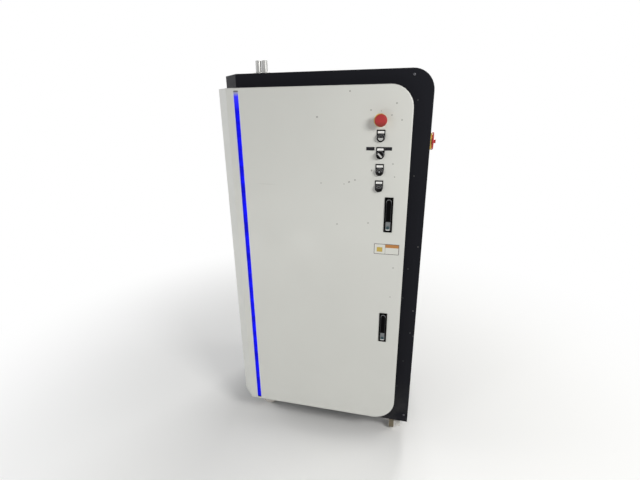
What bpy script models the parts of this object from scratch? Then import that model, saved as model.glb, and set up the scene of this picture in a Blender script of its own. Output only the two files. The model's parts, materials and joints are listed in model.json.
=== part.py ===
"""Control cabinet of a laser cutting machine: a rolled sheet housing on casters with a bevelled door.

Metres, +Z up. The front faces -Y and the origin is on the floor, under the middle of the cabinet's box.
"""
import math

import bmesh
import bpy
from mathutils import Matrix, Vector

# Clearances between pieces
TOUCH = 0.0003            # between two pieces that touch
RUN = 0.0004              # round a shaft, pin or sliding cap
CLEAR = 0.001             # round a piece that swings in a recess
OVERCUT = 0.002           # how far a cutter runs past the wall that it cuts

# Housing
HOUSING_WIDTH = 0.814
HOUSING_DEPTH = 0.600
HOUSING_HEIGHT = 1.526
HOUSING_BEVEL = 0.079     # legs of the cut-off front left corner
HOUSING_TOP_RADIUS = 0.076
CASTER_HEIGHT = 0.100
SHEET = 0.002
FOLD_RADIUS = 0.003       # outer radius of the folds
FRAME_RETURN = 0.022      # the front frame's folded edge
BACK_RETURN = 0.022       # the back panel's folded edge
OPENING_LIP = 0.018       # lip folded in round the door opening
SEAL_LAND = 0.026         # how far the door laps over the opening

# Door, set in from the housing's edges
DOOR_OVERHANG = 0.004     # how far its hinge side stands out past the housing's left
DOOR_RIGHT_MARGIN = 0.066
DOOR_TOP_MARGIN = 0.052
DOOR_BOTTOM_MARGIN = 0.040
DOOR_BEVEL = 0.060        # legs of the bevelled hinge side
DOOR_DEPTH = 0.038
DOOR_SHEET = 0.002
DOOR_GAP = 0.006          # between the door's folded edge and the housing
DOOR_TOP_RADIUS = 0.080
DOOR_BOTTOM_RADIUS = 0.097
STIFFENER_WIDTH = 0.026
STIFFENER_SHEET = 0.0015
GASKET_WIDTH = 0.012

# Light strip in the door
LED_FROM_BEND = 0.0395
LED_WIDTH = 0.018
LED_END_MARGIN = 0.010
LED_DEPTH = 0.012
LED_WALL = 0.0015
LED_CAP_LENGTH = 0.012

# Hinges
HINGE_PIN = 0.003
HINGE_KNUCKLE = 0.0065
HINGE_LEAF = 0.070
HINGE_LEAF_WIDTH = 0.034
HINGE_LEAF_SHEET = 0.003
HINGE_FROM_END = 0.172    # from the door's end to the end hinges' middles

# Operators in one column on the door
OPERATOR_FROM_RIGHT = 0.107
ESTOP_FROM_TOP = 0.1185
ESTOP_PITCH = 0.059       # from the emergency stop down to the first button
BUTTON_PITCH = 0.060
ESTOP_RADIUS = 0.0215
ESTOP_PROJECTION = 0.036
ESTOP_TRAVEL = 0.004
ESTOP_HEAD = 0.013
ESTOP_STEM = 0.0075
ESTOP_EDGE = 0.004        # rounding of the head's rim
ESTOP_CROWN = 0.0012      # how far its face is domed
COLLAR_RADIUS = 0.0185
PANEL_HOLE_RADIUS = 0.011
BEZEL_RADIUS = 0.0148
BEZEL_HEIGHT = 0.009
CAP_RADIUS = 0.0110
POCKET_DEPTH = 0.0075    # recess in the bezel that the cap slides in
BUTTON_TRAVEL = 0.003
KEY_TURN_DEG = 45
BLOCK_SIZE = 0.030        # contact block behind the door
BLOCK_DEPTH = 0.046
LEGEND_WIDTH = 0.030
LEGEND_RISE = 0.0275      # from the button's centre to the plate's top edge
LEGEND_THICKNESS = 0.0015

# Flush handles
HANDLE_FROM_RIGHT = 0.067
UPPER_HANDLE_FROM_TOP = 0.4605       # to the plate's middle
LOWER_HANDLE_FROM_BOTTOM = 0.4835
HANDLE_WIDTH = 0.032
HANDLE_LENGTH = 0.136
HANDLE_PROUD = 0.0025
HANDLE_RECESS = 0.020
HANDLE_RIM = 0.004
HANDLE_WALL = 0.002
HANDLE_PIN = 0.002
LEVER_WIDTH = 0.020
LEVER_LENGTH = 0.086
LEVER_THICKNESS = 0.009
LEVER_EDGE = 0.0012
LOCK_LENGTH = 0.034
LOCK_WIDTH = 0.018
LOCK_TRAVEL = 0.004
CAM_LENGTH = 0.040

# Main switch on the right side
SWITCH_FROM_FRONT = 0.090
SWITCH_FROM_TOP = 0.249
SWITCH_PLATE = 0.060
SWITCH_PLATE_THICKNESS = 0.0077
SWITCH_DISC_RADIUS = 0.033
SWITCH_DISC_THICKNESS = 0.007
SWITCH_GRIP_HEIGHT = 0.007
SWITCH_GRIP_LENGTH = 0.046
SWITCH_GRIP_WIDTH = 0.014
SWITCH_SHAFT_RADIUS = 0.004
SWITCH_BODY = 0.062
SWITCH_BODY_DEPTH = 0.060

# Casters
WHEEL_RADIUS = 0.0375
WHEEL_WIDTH = 0.025
AXLE_RADIUS = 0.004
CASTER_INSET_X = 0.072
CASTER_INSET_Y = 0.093
CASTER_TRAIL = 0.022
CASTER_PLATE_LENGTH = 0.076
CASTER_PLATE_WIDTH = 0.056
CASTER_PLATE_THICKNESS = 0.003
RACEWAY_RADIUS = 0.024
RACEWAY_HEIGHT = 0.009
KINGPIN_RADIUS = 0.005
FORK_SHEET = 0.0025
CAP_NUT_RADIUS = 0.0085
CAP_NUT_LENGTH = 0.011
BRAKE_WIDTH = 0.024
BRAKE_REACH = 0.032       # from the axle to the pedal's tip
BRAKE_SHEET = 0.0025
BRAKE_HUB_RADIUS = 0.009
BRAKE_HUB_WIDTH = 0.006

# Back panel
VENT_PLATE = 0.150
VENT_PROJECTION = 0.008
VENT_FROM_TOP = 0.196
FAN_SIZE = 0.120
FAN_DEPTH = 0.038
FAN_RIM = 0.004
FAN_BLADES = 7
LOUVRE_LENGTH = 0.180
LOUVRE_PITCH = 0.030
LOUVRE_ROWS = 5
LOUVRE_FROM_BOTTOM = 0.100
LOUVRE_SHEET = 0.0015

# Inside
FLOOR_SHEET = 0.003
FLOOR_EDGE = 0.040
GLAND_LAP = 0.010
PLATE_FROM_BACK = 0.150   # from the housing's back to the mounting plate's front face
PLATE_SHEET = 0.0025
PLATE_BOTTOM = 0.500      # from the floor
PLATE_TOP_MARGIN = 0.090
PLATE_SIDE_MARGIN = 0.030
POST_WIDTH = 0.030
POST_SHEET = 0.002
SHELF_HEIGHT = 0.060
SOURCE_WIDTH = 0.482
SOURCE_HEIGHT = 0.240
SOURCE_DEPTH = 0.400
DUCT_WIDTH = 0.040
DUCT_DEPTH = 0.060
DUCT_WALL = 0.002
DUCT_SLOT = 0.042
DUCT_SLOT_PITCH = 0.078
RAIL_HEIGHT = 0.035
RAIL_DEPTH = 0.0075
RAIL_SHEET = 0.001

# Roof
SOCKET_FROM_BEND = 0.1165
SOCKET_FROM_FRONT = 0.040
SOCKET_PITCH = 0.025
SOCKET_RADIUS = 0.011
SOCKET_HEIGHT = 0.046
SOCKET_BORE = 0.008
FLANGE_LENGTH = 0.080
FLANGE_WIDTH = 0.030
FLANGE_THICKNESS = 0.002

# Places that follow from the sizes
DOOR_STANDOFF = DOOR_DEPTH + DOOR_GAP
SWITCH_PROJECTION = SWITCH_PLATE_THICKNESS + TOUCH + SWITCH_DISC_THICKNESS + SWITCH_GRIP_HEIGHT
FOLD_LOSS = FOLD_RADIUS * (math.sqrt(2) - 1)      # what the door's rounded left fold takes off its corner
OVERALL_WIDTH = DOOR_OVERHANG + HOUSING_WIDTH + SWITCH_PROJECTION - FOLD_LOSS
OVERALL_DEPTH = ESTOP_PROJECTION + DOOR_STANDOFF + HOUSING_DEPTH + VENT_PROJECTION
DOOR_LEFT = -OVERALL_WIDTH / 2 - FOLD_LOSS
DOOR_BEND = DOOR_LEFT + DOOR_BEVEL
HOUSING_LEFT = DOOR_LEFT + DOOR_OVERHANG
HOUSING_RIGHT = HOUSING_LEFT + HOUSING_WIDTH
DOOR_RIGHT = HOUSING_RIGHT - DOOR_RIGHT_MARGIN
DOOR_FRONT = -OVERALL_DEPTH / 2 + ESTOP_PROJECTION
HOUSING_FRONT = DOOR_FRONT + DOOR_STANDOFF
HOUSING_BACK = HOUSING_FRONT + HOUSING_DEPTH
HOUSING_BOTTOM = CASTER_HEIGHT
HOUSING_TOP = HOUSING_BOTTOM + HOUSING_HEIGHT
DOOR_TOP = HOUSING_TOP - DOOR_TOP_MARGIN
DOOR_BOTTOM = HOUSING_BOTTOM + DOOR_BOTTOM_MARGIN
MITRE = math.tan(math.radians(22.5))     # shift of a 45 degree bend for each unit of depth
DIAGONAL = math.sqrt(0.5)
DOOR_INNER = DOOR_FRONT + DOOR_SHEET
INNER_LEFT = HOUSING_LEFT + SHEET
INNER_RIGHT = HOUSING_RIGHT - SHEET
INNER_TOP = HOUSING_TOP - SHEET
PLATE_FRONT = HOUSING_BACK - PLATE_FROM_BACK
FLOOR_LEVEL = HOUSING_BOTTOM + SHEET + TOUCH      # the floor tray lies on the frames' lower returns
SWITCH_Y = HOUSING_FRONT + SWITCH_FROM_FRONT
SWITCH_Z = HOUSING_TOP - SWITCH_FROM_TOP
PLATE_TOP = HOUSING_TOP - PLATE_TOP_MARGIN
VENT_X = (HOUSING_LEFT + HOUSING_RIGHT) / 2
VENT_Z = HOUSING_TOP - VENT_FROM_TOP
LOUVRE_Z = HOUSING_BOTTOM + LOUVRE_FROM_BOTTOM
FAN_BORE = FAN_SIZE / 2 - FAN_RIM
GLAND_LOW = (VENT_X - 0.150, HOUSING_BACK - 0.110)
GLAND_HIGH = (VENT_X + 0.150, HOUSING_BACK - 0.030)
POST_TOP = HOUSING_TOP - 0.060
BAR_LEVELS = (PLATE_BOTTOM + 0.020, PLATE_TOP - 0.060)


# Making objects

def clear_scene():
    for old in list(bpy.data.objects):
        bpy.data.objects.remove(old, do_unlink=True)


def paint(name, colour, roughness, metallic=0.0):
    """One material for one piece."""
    material = bpy.data.materials.new(name)
    material.use_nodes = True
    shader = material.node_tree.nodes["Principled BSDF"]
    shader.inputs["Base Color"].default_value = (*colour, 1.0)
    shader.inputs["Roughness"].default_value = roughness
    shader.inputs["Metallic"].default_value = metallic
    return material


WHITE = ((0.60, 0.61, 0.58), 0.45, 0.0)
DARK = ((0.018, 0.018, 0.022), 0.5, 0.0)
BLACK = ((0.012, 0.012, 0.013), 0.4, 0.0)
ZINC = ((0.62, 0.62, 0.60), 0.35, 1.0)
STEEL = ((0.55, 0.55, 0.56), 0.3, 1.0)
CHROME = ((0.75, 0.75, 0.77), 0.12, 1.0)
RUBBER = ((0.02, 0.02, 0.02), 0.8, 0.0)
RED = ((0.52, 0.03, 0.03), 0.4, 0.0)
YELLOW = ((0.75, 0.50, 0.02), 0.4, 0.0)
BLUE = ((0.0, 0.0, 1.0), 0.3, 0.0)
NYLON = ((0.55, 0.51, 0.44), 0.5, 0.0)
PALE = ((0.70, 0.70, 0.68), 0.5, 0.0)
GREY = ((0.32, 0.33, 0.34), 0.5, 0.0)
GREEN = ((0.05, 0.25, 0.12), 0.5, 0.0)


def finish(name, bm, look, smooth_deg=32):
    """Turn a working mesh into the named object with its own material."""
    bmesh.ops.recalc_face_normals(bm, faces=bm.faces)
    mesh = bpy.data.meshes.new(name)
    bm.to_mesh(mesh)
    bm.free()
    mesh.shade_smooth()
    mesh.set_sharp_from_angle(angle=math.radians(smooth_deg))
    mesh.materials.append(paint(name, *look))
    piece = bpy.data.objects.new(name, mesh)
    bpy.context.scene.collection.objects.link(piece)
    return piece


def guide(name, bm):
    """A hidden shape that a Boolean modifier reads."""
    bmesh.ops.recalc_face_normals(bm, faces=bm.faces)
    mesh = bpy.data.meshes.new(name)
    bm.to_mesh(mesh)
    bm.free()
    shape = bpy.data.objects.new(name, mesh)
    shape.hide_render = True
    shape.display_type = "WIRE"
    bpy.context.scene.collection.objects.link(shape)
    return shape


def combine(piece, operation, shape):
    modifier = piece.modifiers.new(operation.lower(), "BOOLEAN")
    modifier.operation = operation
    modifier.solver = "EXACT"
    modifier.object = shape
    return modifier


def fuse(piece, name, bm):
    combine(piece, "UNION", guide(name, bm))


def pierce(piece, name, bm):
    combine(piece, "DIFFERENCE", guide(name, bm))


def soften(piece, width, segments=2, angle_deg=40):
    modifier = piece.modifiers.new("edges", "BEVEL")
    modifier.width = width
    modifier.segments = segments
    modifier.limit_method = "ANGLE"
    modifier.angle_limit = math.radians(angle_deg)
    return modifier


def joint_axis(name, point, parent=None):
    """An empty on a joint's axis; what moves with the joint hangs under it."""
    empty = bpy.data.objects.new(name, None)
    empty.empty_display_size = 0.02
    bpy.context.scene.collection.objects.link(empty)
    hang(empty, parent)
    empty.matrix_world = Matrix.Translation(point)
    bpy.context.view_layer.update()
    return empty


def hang(piece, parent):
    if parent is None:
        return
    piece.parent = parent
    piece.matrix_parent_inverse = parent.matrix_world.inverted()


# Basic shapes, added to a working mesh

def place(axis, along, a, b):
    """A point from its distance along an axis and its two other coordinates, in X, Y, Z order."""
    if axis == "x":
        return (along, a, b)
    if axis == "y":
        return (a, along, b)
    return (a, b, along)


def add_prism(bm, outline, axis, low, high):
    ends = [[bm.verts.new(place(axis, along, a, b)) for a, b in outline] for along in (low, high)]
    bm.faces.new(ends[0])
    bm.faces.new(ends[1])
    for i in range(len(outline)):
        bm.faces.new((ends[0][i - 1], ends[0][i], ends[1][i], ends[1][i - 1]))


def add_box(bm, low, high):
    add_prism(bm, [(low[0], low[1]), (high[0], low[1]), (high[0], high[1]), (low[0], high[1])],
              "z", low[2], high[2])


def add_turned(bm, profile, axis, centre, steps):
    """Turn a closed profile of (radius, distance along the axis) points; centre is a point on the axis."""
    index = "xyz".index(axis)
    others = [centre[i] for i in range(3) if i != index]
    rings = []
    for radius, along in profile:
        count = steps if radius > 0 else 1
        ring = []
        for i in range(count):
            turn = 2 * math.pi * i / steps
            ring.append(bm.verts.new(place(axis, centre[index] + along,
                                           others[0] + radius * math.cos(turn),
                                           others[1] + radius * math.sin(turn))))
        rings.append(ring)
    for first, second in zip(rings, rings[1:] + rings[:1]):
        if len(first) == 1 and len(second) == 1:
            continue
        for i in range(steps):
            corners = [first[i % len(first)], first[(i + 1) % len(first)],
                       second[(i + 1) % len(second)], second[i % len(second)]]
            bm.faces.new(list(dict.fromkeys(corners)))


def add_cylinder(bm, radius, axis, centre, low, high, steps=24):
    add_turned(bm, [(0, low), (radius, low), (radius, high), (0, high)], axis, centre, steps)


def arc(centre, radius, start_deg, end_deg, steps):
    points = []
    for i in range(steps + 1):
        turn = math.radians(start_deg + (end_deg - start_deg) * i / steps)
        points.append((centre[0] + radius * math.cos(turn), centre[1] + radius * math.sin(turn)))
    return points


def rounded_outline(low, high, radii, steps=8):
    """Rectangle with its own radius at each corner, from the lower left one anticlockwise."""
    corners = [(low[0], low[1], 1, 1, 180), (high[0], low[1], -1, 1, 270),
               (high[0], high[1], -1, -1, 0), (low[0], high[1], 1, -1, 90)]
    points = []
    for (a, b, to_a, to_b, start), radius in zip(corners, radii):
        if radius <= 0:
            points.append((a, b))
        else:
            points += arc((a + to_a * radius, b + to_b * radius), radius, start, start + 90, steps)
    return points


def add_ring(bm, outline_at, profile, axis="y"):
    """Sweep a closed profile of (inset, distance along the axis) points round an outline."""
    loops = []
    for inset, along in profile:
        loops.append([bm.verts.new(place(axis, along, a, b)) for a, b in outline_at(inset)])
    for first, second in zip(loops, loops[1:] + loops[:1]):
        for i in range(len(first)):
            bm.faces.new((first[i - 1], first[i], second[i], second[i - 1]))


# Folded sheet with a face, an edge folded back all round and an optional bevelled left side

def tray_loop(tray, inset, depth):
    """The tray's outline at an inset from its edge and a depth behind its face.

    It runs from the lower left corner through the bend, the two right corners and the bend again.
    """
    face, inward = tray["face"], tray["inward"]
    low, high = tray["bottom"] + inset, tray["top"] - inset
    right = tray["right"] - inset
    bevel = tray["bevel"]
    if bevel > 0:
        if tray["straight_return"]:
            left_x = tray["left"] + inset
            left_y = face + inward * (bevel + depth / DIAGONAL - inset)
        else:
            left_x = tray["left"] + (inset + depth) * DIAGONAL
            left_y = face + inward * (bevel + (depth - inset) * DIAGONAL)
        bend_x = tray["left"] + bevel + MITRE * depth
    else:
        left_x, left_y = tray["left"] + inset, face + inward * depth
        bend_x = None
    y = face + inward * depth
    points = [(left_x, left_y, low)]
    if bend_x is not None:
        points.append((bend_x, y, low))
    for radius, centre_z, start in ((tray["bottom_radius"], low, 270), (tray["top_radius"], high, 0)):
        round_radius = radius - inset
        if radius <= 0:
            points.append((right, y, centre_z))
            continue
        to_z = round_radius if start == 270 else -round_radius
        for x, z in arc((right - round_radius, centre_z + to_z), round_radius, start, start + 90,
                        tray["steps"]):
            points.append((x, y, z))
    if bend_x is not None:
        points.append((bend_x, y, high))
    points.append((left_x, left_y, high))
    return points


def add_tray(bm, tray, depth, sheet, fold_radius, fold_steps=2):
    """A folded sheet tray: rounded outer folds, sharp inner ones."""
    levels = [(0, depth)]
    for i in range(fold_steps + 1):
        turn = math.pi / 2 * i / fold_steps
        levels.append((fold_radius * (1 - math.cos(turn)), fold_radius * (1 - math.sin(turn))))
    inner = [(sheet, sheet), (sheet, depth)]
    loops = []
    for inset, level in levels + inner:
        loops.append([bm.verts.new(point) for point in tray_loop(tray, inset, level)])
    front, back = loops[len(levels) - 1], loops[len(levels)]
    for i in range(len(loops)):
        if loops[i] is front:
            continue
        first, second = loops[i], loops[(i + 1) % len(loops)]
        for j in range(len(first)):
            bm.faces.new((first[j - 1], first[j], second[j], second[j - 1]))
    for loop in (front, back):
        if tray["bevel"] > 0:
            bm.faces.new(loop[1:-1])
            bm.faces.new((loop[0], loop[1], loop[-2], loop[-1]))
        else:
            bm.faces.new(loop)


# Housing

def housing_plan(inset, behind_bevel):
    """Plan of what stands inside the housing, inset from its outer faces and behind its bevelled corner."""
    reach = HOUSING_BEVEL + behind_bevel / DIAGONAL - inset
    return [(HOUSING_LEFT + inset, HOUSING_FRONT + reach), (HOUSING_LEFT + reach, HOUSING_FRONT + inset),
            (HOUSING_RIGHT - inset, HOUSING_FRONT + inset), (HOUSING_RIGHT - inset, HOUSING_BACK - inset),
            (HOUSING_LEFT + inset, HOUSING_BACK - inset)]


OPENING_LEFT = DOOR_BEND + LED_FROM_BEND + LED_WIDTH / 2 + SEAL_LAND
OPENING_RIGHT = DOOR_RIGHT - SEAL_LAND
OPENING_BOTTOM = DOOR_BOTTOM + SEAL_LAND
OPENING_TOP = DOOR_TOP - SEAL_LAND


def opening_outline(inset, steps=8):
    """The door opening; its right corners are concentric with the door's."""
    return rounded_outline((OPENING_LEFT + inset, OPENING_BOTTOM + inset),
                           (OPENING_RIGHT - inset, OPENING_TOP - inset),
                           (0.012 - inset, DOOR_BOTTOM_RADIUS - SEAL_LAND - inset,
                            DOOR_TOP_RADIUS - SEAL_LAND - inset, 0.012 - inset), steps)


def front_frame():
    tray = {"face": HOUSING_FRONT, "inward": 1, "left": HOUSING_LEFT, "right": HOUSING_RIGHT,
            "bottom": HOUSING_BOTTOM, "top": HOUSING_TOP, "bevel": HOUSING_BEVEL,
            "bottom_radius": 0, "top_radius": HOUSING_TOP_RADIUS, "steps": 10, "straight_return": True}
    bm = bmesh.new()
    add_tray(bm, tray, FRAME_RETURN, SHEET, FOLD_RADIUS)
    frame = finish("front_frame", bm, DARK)
    cutter = bmesh.new()
    add_prism(cutter, opening_outline(-SHEET / 2), "y", HOUSING_FRONT - OVERCUT,
              HOUSING_FRONT + SHEET + OVERCUT)
    combine(frame, "DIFFERENCE", guide("opening_cut", cutter))
    lip = bmesh.new()
    edge = HOUSING_FRONT + SHEET / 4
    add_ring(lip, opening_outline, [(-SHEET, edge), (0, edge), (0, edge + OPENING_LIP),
                                    (-SHEET, edge + OPENING_LIP)])
    combine(frame, "UNION", guide("opening_lip", lip))
    return frame


PANEL_FRONT = HOUSING_FRONT + FRAME_RETURN + TOUCH
PANEL_BACK = HOUSING_BACK - BACK_RETURN - TOUCH


def socket_places():
    for side in (-1, 1):
        yield (DOOR_BEND + SOCKET_FROM_BEND + side * SOCKET_PITCH / 2, HOUSING_FRONT + SOCKET_FROM_FRONT)


def roof_and_right_panel():
    """One sheet, rolled over the right shoulder, with its left edge folded down."""
    outer = [(HOUSING_RIGHT, HOUSING_BOTTOM)]
    centre = (HOUSING_RIGHT - HOUSING_TOP_RADIUS, HOUSING_TOP - HOUSING_TOP_RADIUS)
    outer += arc(centre, HOUSING_TOP_RADIUS, 0, 90, 10)
    outer += [(HOUSING_LEFT, HOUSING_TOP)]
    inner = [(HOUSING_LEFT, INNER_TOP)]
    inner += arc(centre, HOUSING_TOP_RADIUS - SHEET, 90, 0, 10)
    inner += [(INNER_RIGHT, HOUSING_BOTTOM)]
    bm = bmesh.new()
    add_prism(bm, outer + inner, "y", PANEL_FRONT, PANEL_BACK)
    shell = finish("roof_and_right_panel", bm, DARK)
    cutter = bmesh.new()
    far = HOUSING_LEFT - OVERCUT
    line = HOUSING_BEVEL + FRAME_RETURN / DIAGONAL + 2 * TOUCH
    add_prism(cutter, [(far, HOUSING_FRONT), (HOUSING_LEFT + line, HOUSING_FRONT),
                       (far, HOUSING_FRONT + line + OVERCUT)], "z", HOUSING_TOP - 0.02, HOUSING_TOP + 0.02)
    for x, y in socket_places():
        add_cylinder(cutter, SOCKET_BORE, "z", (x, y, HOUSING_TOP), -SHEET - OVERCUT, OVERCUT)
    add_cylinder(cutter, SWITCH_SHAFT_RADIUS + CLEAR, "x", (HOUSING_RIGHT, SWITCH_Y, SWITCH_Z),
                 -SHEET - OVERCUT, OVERCUT)
    combine(shell, "DIFFERENCE", guide("roof_cuts", cutter))
    return shell


def left_panel():
    """Flat side from the bevelled corner to the back, with a flange folded in under the roof."""
    front = HOUSING_FRONT + HOUSING_BEVEL + FRAME_RETURN / DIAGONAL + TOUCH
    bm = bmesh.new()
    flange = 0.020
    top = INNER_TOP - TOUCH
    outline = [(HOUSING_LEFT, HOUSING_BOTTOM), (INNER_LEFT, HOUSING_BOTTOM), (INNER_LEFT, top - SHEET),
               (HOUSING_LEFT + flange, top - SHEET), (HOUSING_LEFT + flange, top), (HOUSING_LEFT, top)]
    add_prism(bm, outline, "y", front, PANEL_BACK)
    return finish("left_panel", bm, DARK)


def back_panel():
    tray = {"face": HOUSING_BACK, "inward": -1, "left": HOUSING_LEFT, "right": HOUSING_RIGHT,
            "bottom": HOUSING_BOTTOM, "top": HOUSING_TOP, "bevel": 0,
            "bottom_radius": 0, "top_radius": HOUSING_TOP_RADIUS, "steps": 10}
    bm = bmesh.new()
    add_tray(bm, tray, BACK_RETURN, SHEET, FOLD_RADIUS)
    panel = finish("back_panel", bm, DARK)
    cutter = bmesh.new()
    add_cylinder(cutter, FAN_BORE, "y", (VENT_X, HOUSING_BACK, VENT_Z), -SHEET - OVERCUT, OVERCUT, 28)
    hoods = bmesh.new()
    for x, z in louvre_places():
        half = LOUVRE_LENGTH / 2
        gap = LOUVRE_PITCH * 0.35
        add_box(cutter, (x - half, HOUSING_BACK - SHEET - OVERCUT, z),
                (x + half, HOUSING_BACK + OVERCUT, z + gap))
        drop = LOUVRE_SHEET
        sink = HOUSING_BACK - SHEET / 2
        add_prism(hoods, [(sink, z + gap - drop / 2), (sink, z + gap + drop),
                          (HOUSING_BACK + VENT_PROJECTION, z + drop), (HOUSING_BACK + VENT_PROJECTION, z)],
                  "x", x - half - SHEET, x + half + SHEET)
    combine(panel, "DIFFERENCE", guide("back_cuts", cutter))
    combine(panel, "UNION", guide("louvre_hoods", hoods))
    return panel


def louvre_places():
    for side in (-1, 1):
        for row in range(LOUVRE_ROWS):
            yield (VENT_X + side * LOUVRE_LENGTH * 0.62, LOUVRE_Z + row * LOUVRE_PITCH)


def vent_grille():
    """Moulded cover over the fan's hole: a rim and slanted slats on a square plate."""
    half = VENT_PLATE / 2
    low, high = HOUSING_BACK + TOUCH, HOUSING_BACK + VENT_PROJECTION
    bm = bmesh.new()
    outline = rounded_outline((VENT_X - half, VENT_Z - half), (VENT_X + half, VENT_Z + half), (0.008,) * 4, 3)
    add_prism(bm, outline, "y", low, high)
    grille = finish("vent_grille", bm, BLACK)
    cutter = bmesh.new()
    slots = 9
    inner = half - 0.016
    pitch = 2 * inner / slots
    for i in range(slots):
        z = VENT_Z - inner + (i + 0.5) * pitch
        open_half = pitch * 0.3
        tilt = pitch * 0.2
        add_prism(cutter, [(low - OVERCUT, z - open_half + tilt), (high + OVERCUT, z - open_half - tilt),
                           (high + OVERCUT, z + open_half - tilt), (low - OVERCUT, z + open_half + tilt)],
                  "x", VENT_X - inner, VENT_X + inner)
    combine(grille, "DIFFERENCE", guide("vent_slots", cutter))
    return grille


def fan():
    """Square fan frame behind the back panel, with a bladed rotor on its hub."""
    back = HOUSING_BACK - SHEET - TOUCH
    front = back - FAN_DEPTH
    half = FAN_SIZE / 2
    bm = bmesh.new()
    add_prism(bm, rounded_outline((VENT_X - half, VENT_Z - half), (VENT_X + half, VENT_Z + half),
                                  (0.006,) * 4, 3), "y", front, back)
    frame = finish("fan_housing", bm, BLACK)
    bore = bmesh.new()
    add_cylinder(bore, FAN_BORE, "y", (VENT_X, 0, VENT_Z), front - OVERCUT, back + OVERCUT, 28)
    combine(frame, "DIFFERENCE", guide("fan_bore", bore))
    spider = bmesh.new()
    motor_radius, strut = 0.021, 0.0025
    add_cylinder(spider, motor_radius, "y", (VENT_X, 0, VENT_Z), front, front + 0.005, 16)
    spider_piece = guide("fan_spider", spider)
    for i in range(4):
        arm = bmesh.new()
        add_box(arm, (motor_radius * 0.8, front + 0.001, -strut), (FAN_BORE + 0.002, front + 0.004, strut))
        bmesh.ops.rotate(arm, verts=arm.verts, cent=(0, 0, 0),
                         matrix=Matrix.Rotation(math.radians(45 + 90 * i), 3, "Y"))
        bmesh.ops.translate(arm, verts=arm.verts, vec=(VENT_X, 0, VENT_Z))
        combine(spider_piece, "UNION", guide("fan_arm", arm))
    combine(frame, "UNION", spider_piece)

    axis = joint_axis("fan_axis", (VENT_X, (front + back) / 2, VENT_Z))
    hub_front = front + 0.005 + TOUCH
    hub_back = back - 0.002
    bm = bmesh.new()
    add_turned(bm, [(0, hub_front), (0.020, hub_front), (0.021, hub_back - 0.003), (0.018, hub_back),
                    (0, hub_back)], "y", (VENT_X, 0, VENT_Z), 18)
    rotor = finish("fan_rotor", bm, BLACK)
    for i in range(FAN_BLADES):
        blade = bmesh.new()
        span = FAN_BORE - 0.003
        add_prism(blade, [(-0.011, hub_front + 0.004), (-0.009, hub_front + 0.004),
                          (0.012, hub_back - 0.004), (0.010, hub_back - 0.004)], "z", 0.017, span)
        bmesh.ops.rotate(blade, verts=blade.verts, cent=(0, 0, 0),
                         matrix=Matrix.Rotation(2 * math.pi * i / FAN_BLADES, 3, "Y"))
        bmesh.ops.translate(blade, verts=blade.verts, vec=(VENT_X, 0, VENT_Z))
        combine(rotor, "UNION", guide("fan_blade", blade))
    hang(rotor, axis)


def roof_sockets():
    """Two steel conduit sockets welded to one flange plate on the roof."""
    low = HOUSING_TOP + TOUCH
    x, y = DOOR_BEND + SOCKET_FROM_BEND, HOUSING_FRONT + SOCKET_FROM_FRONT
    half_x, half_y = FLANGE_LENGTH / 2, FLANGE_WIDTH / 2
    bm = bmesh.new()
    add_prism(bm, rounded_outline((x - half_x, y - half_y), (x + half_x, y + half_y), (0.006,) * 4, 3),
              "z", low, low + FLANGE_THICKNESS)
    piece = finish("roof_sockets", bm, ZINC)
    tubes, bores = bmesh.new(), bmesh.new()
    top = low + SOCKET_HEIGHT
    for x, y in socket_places():
        add_turned(tubes, [(0, low + 0.001), (SOCKET_RADIUS + 0.001, low + 0.001),
                           (SOCKET_RADIUS + 0.001, low + 0.004), (SOCKET_RADIUS, low + 0.006),
                           (SOCKET_RADIUS, top - 0.001), (SOCKET_RADIUS - 0.001, top), (0, top)],
                   "z", (x, y, 0), 18)
        add_cylinder(bores, SOCKET_BORE, "z", (x, y, 0), low - OVERCUT, top + OVERCUT, 16)
    fuse(piece, "socket_tubes", tubes)
    pierce(piece, "socket_bores", bores)
    return piece


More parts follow.
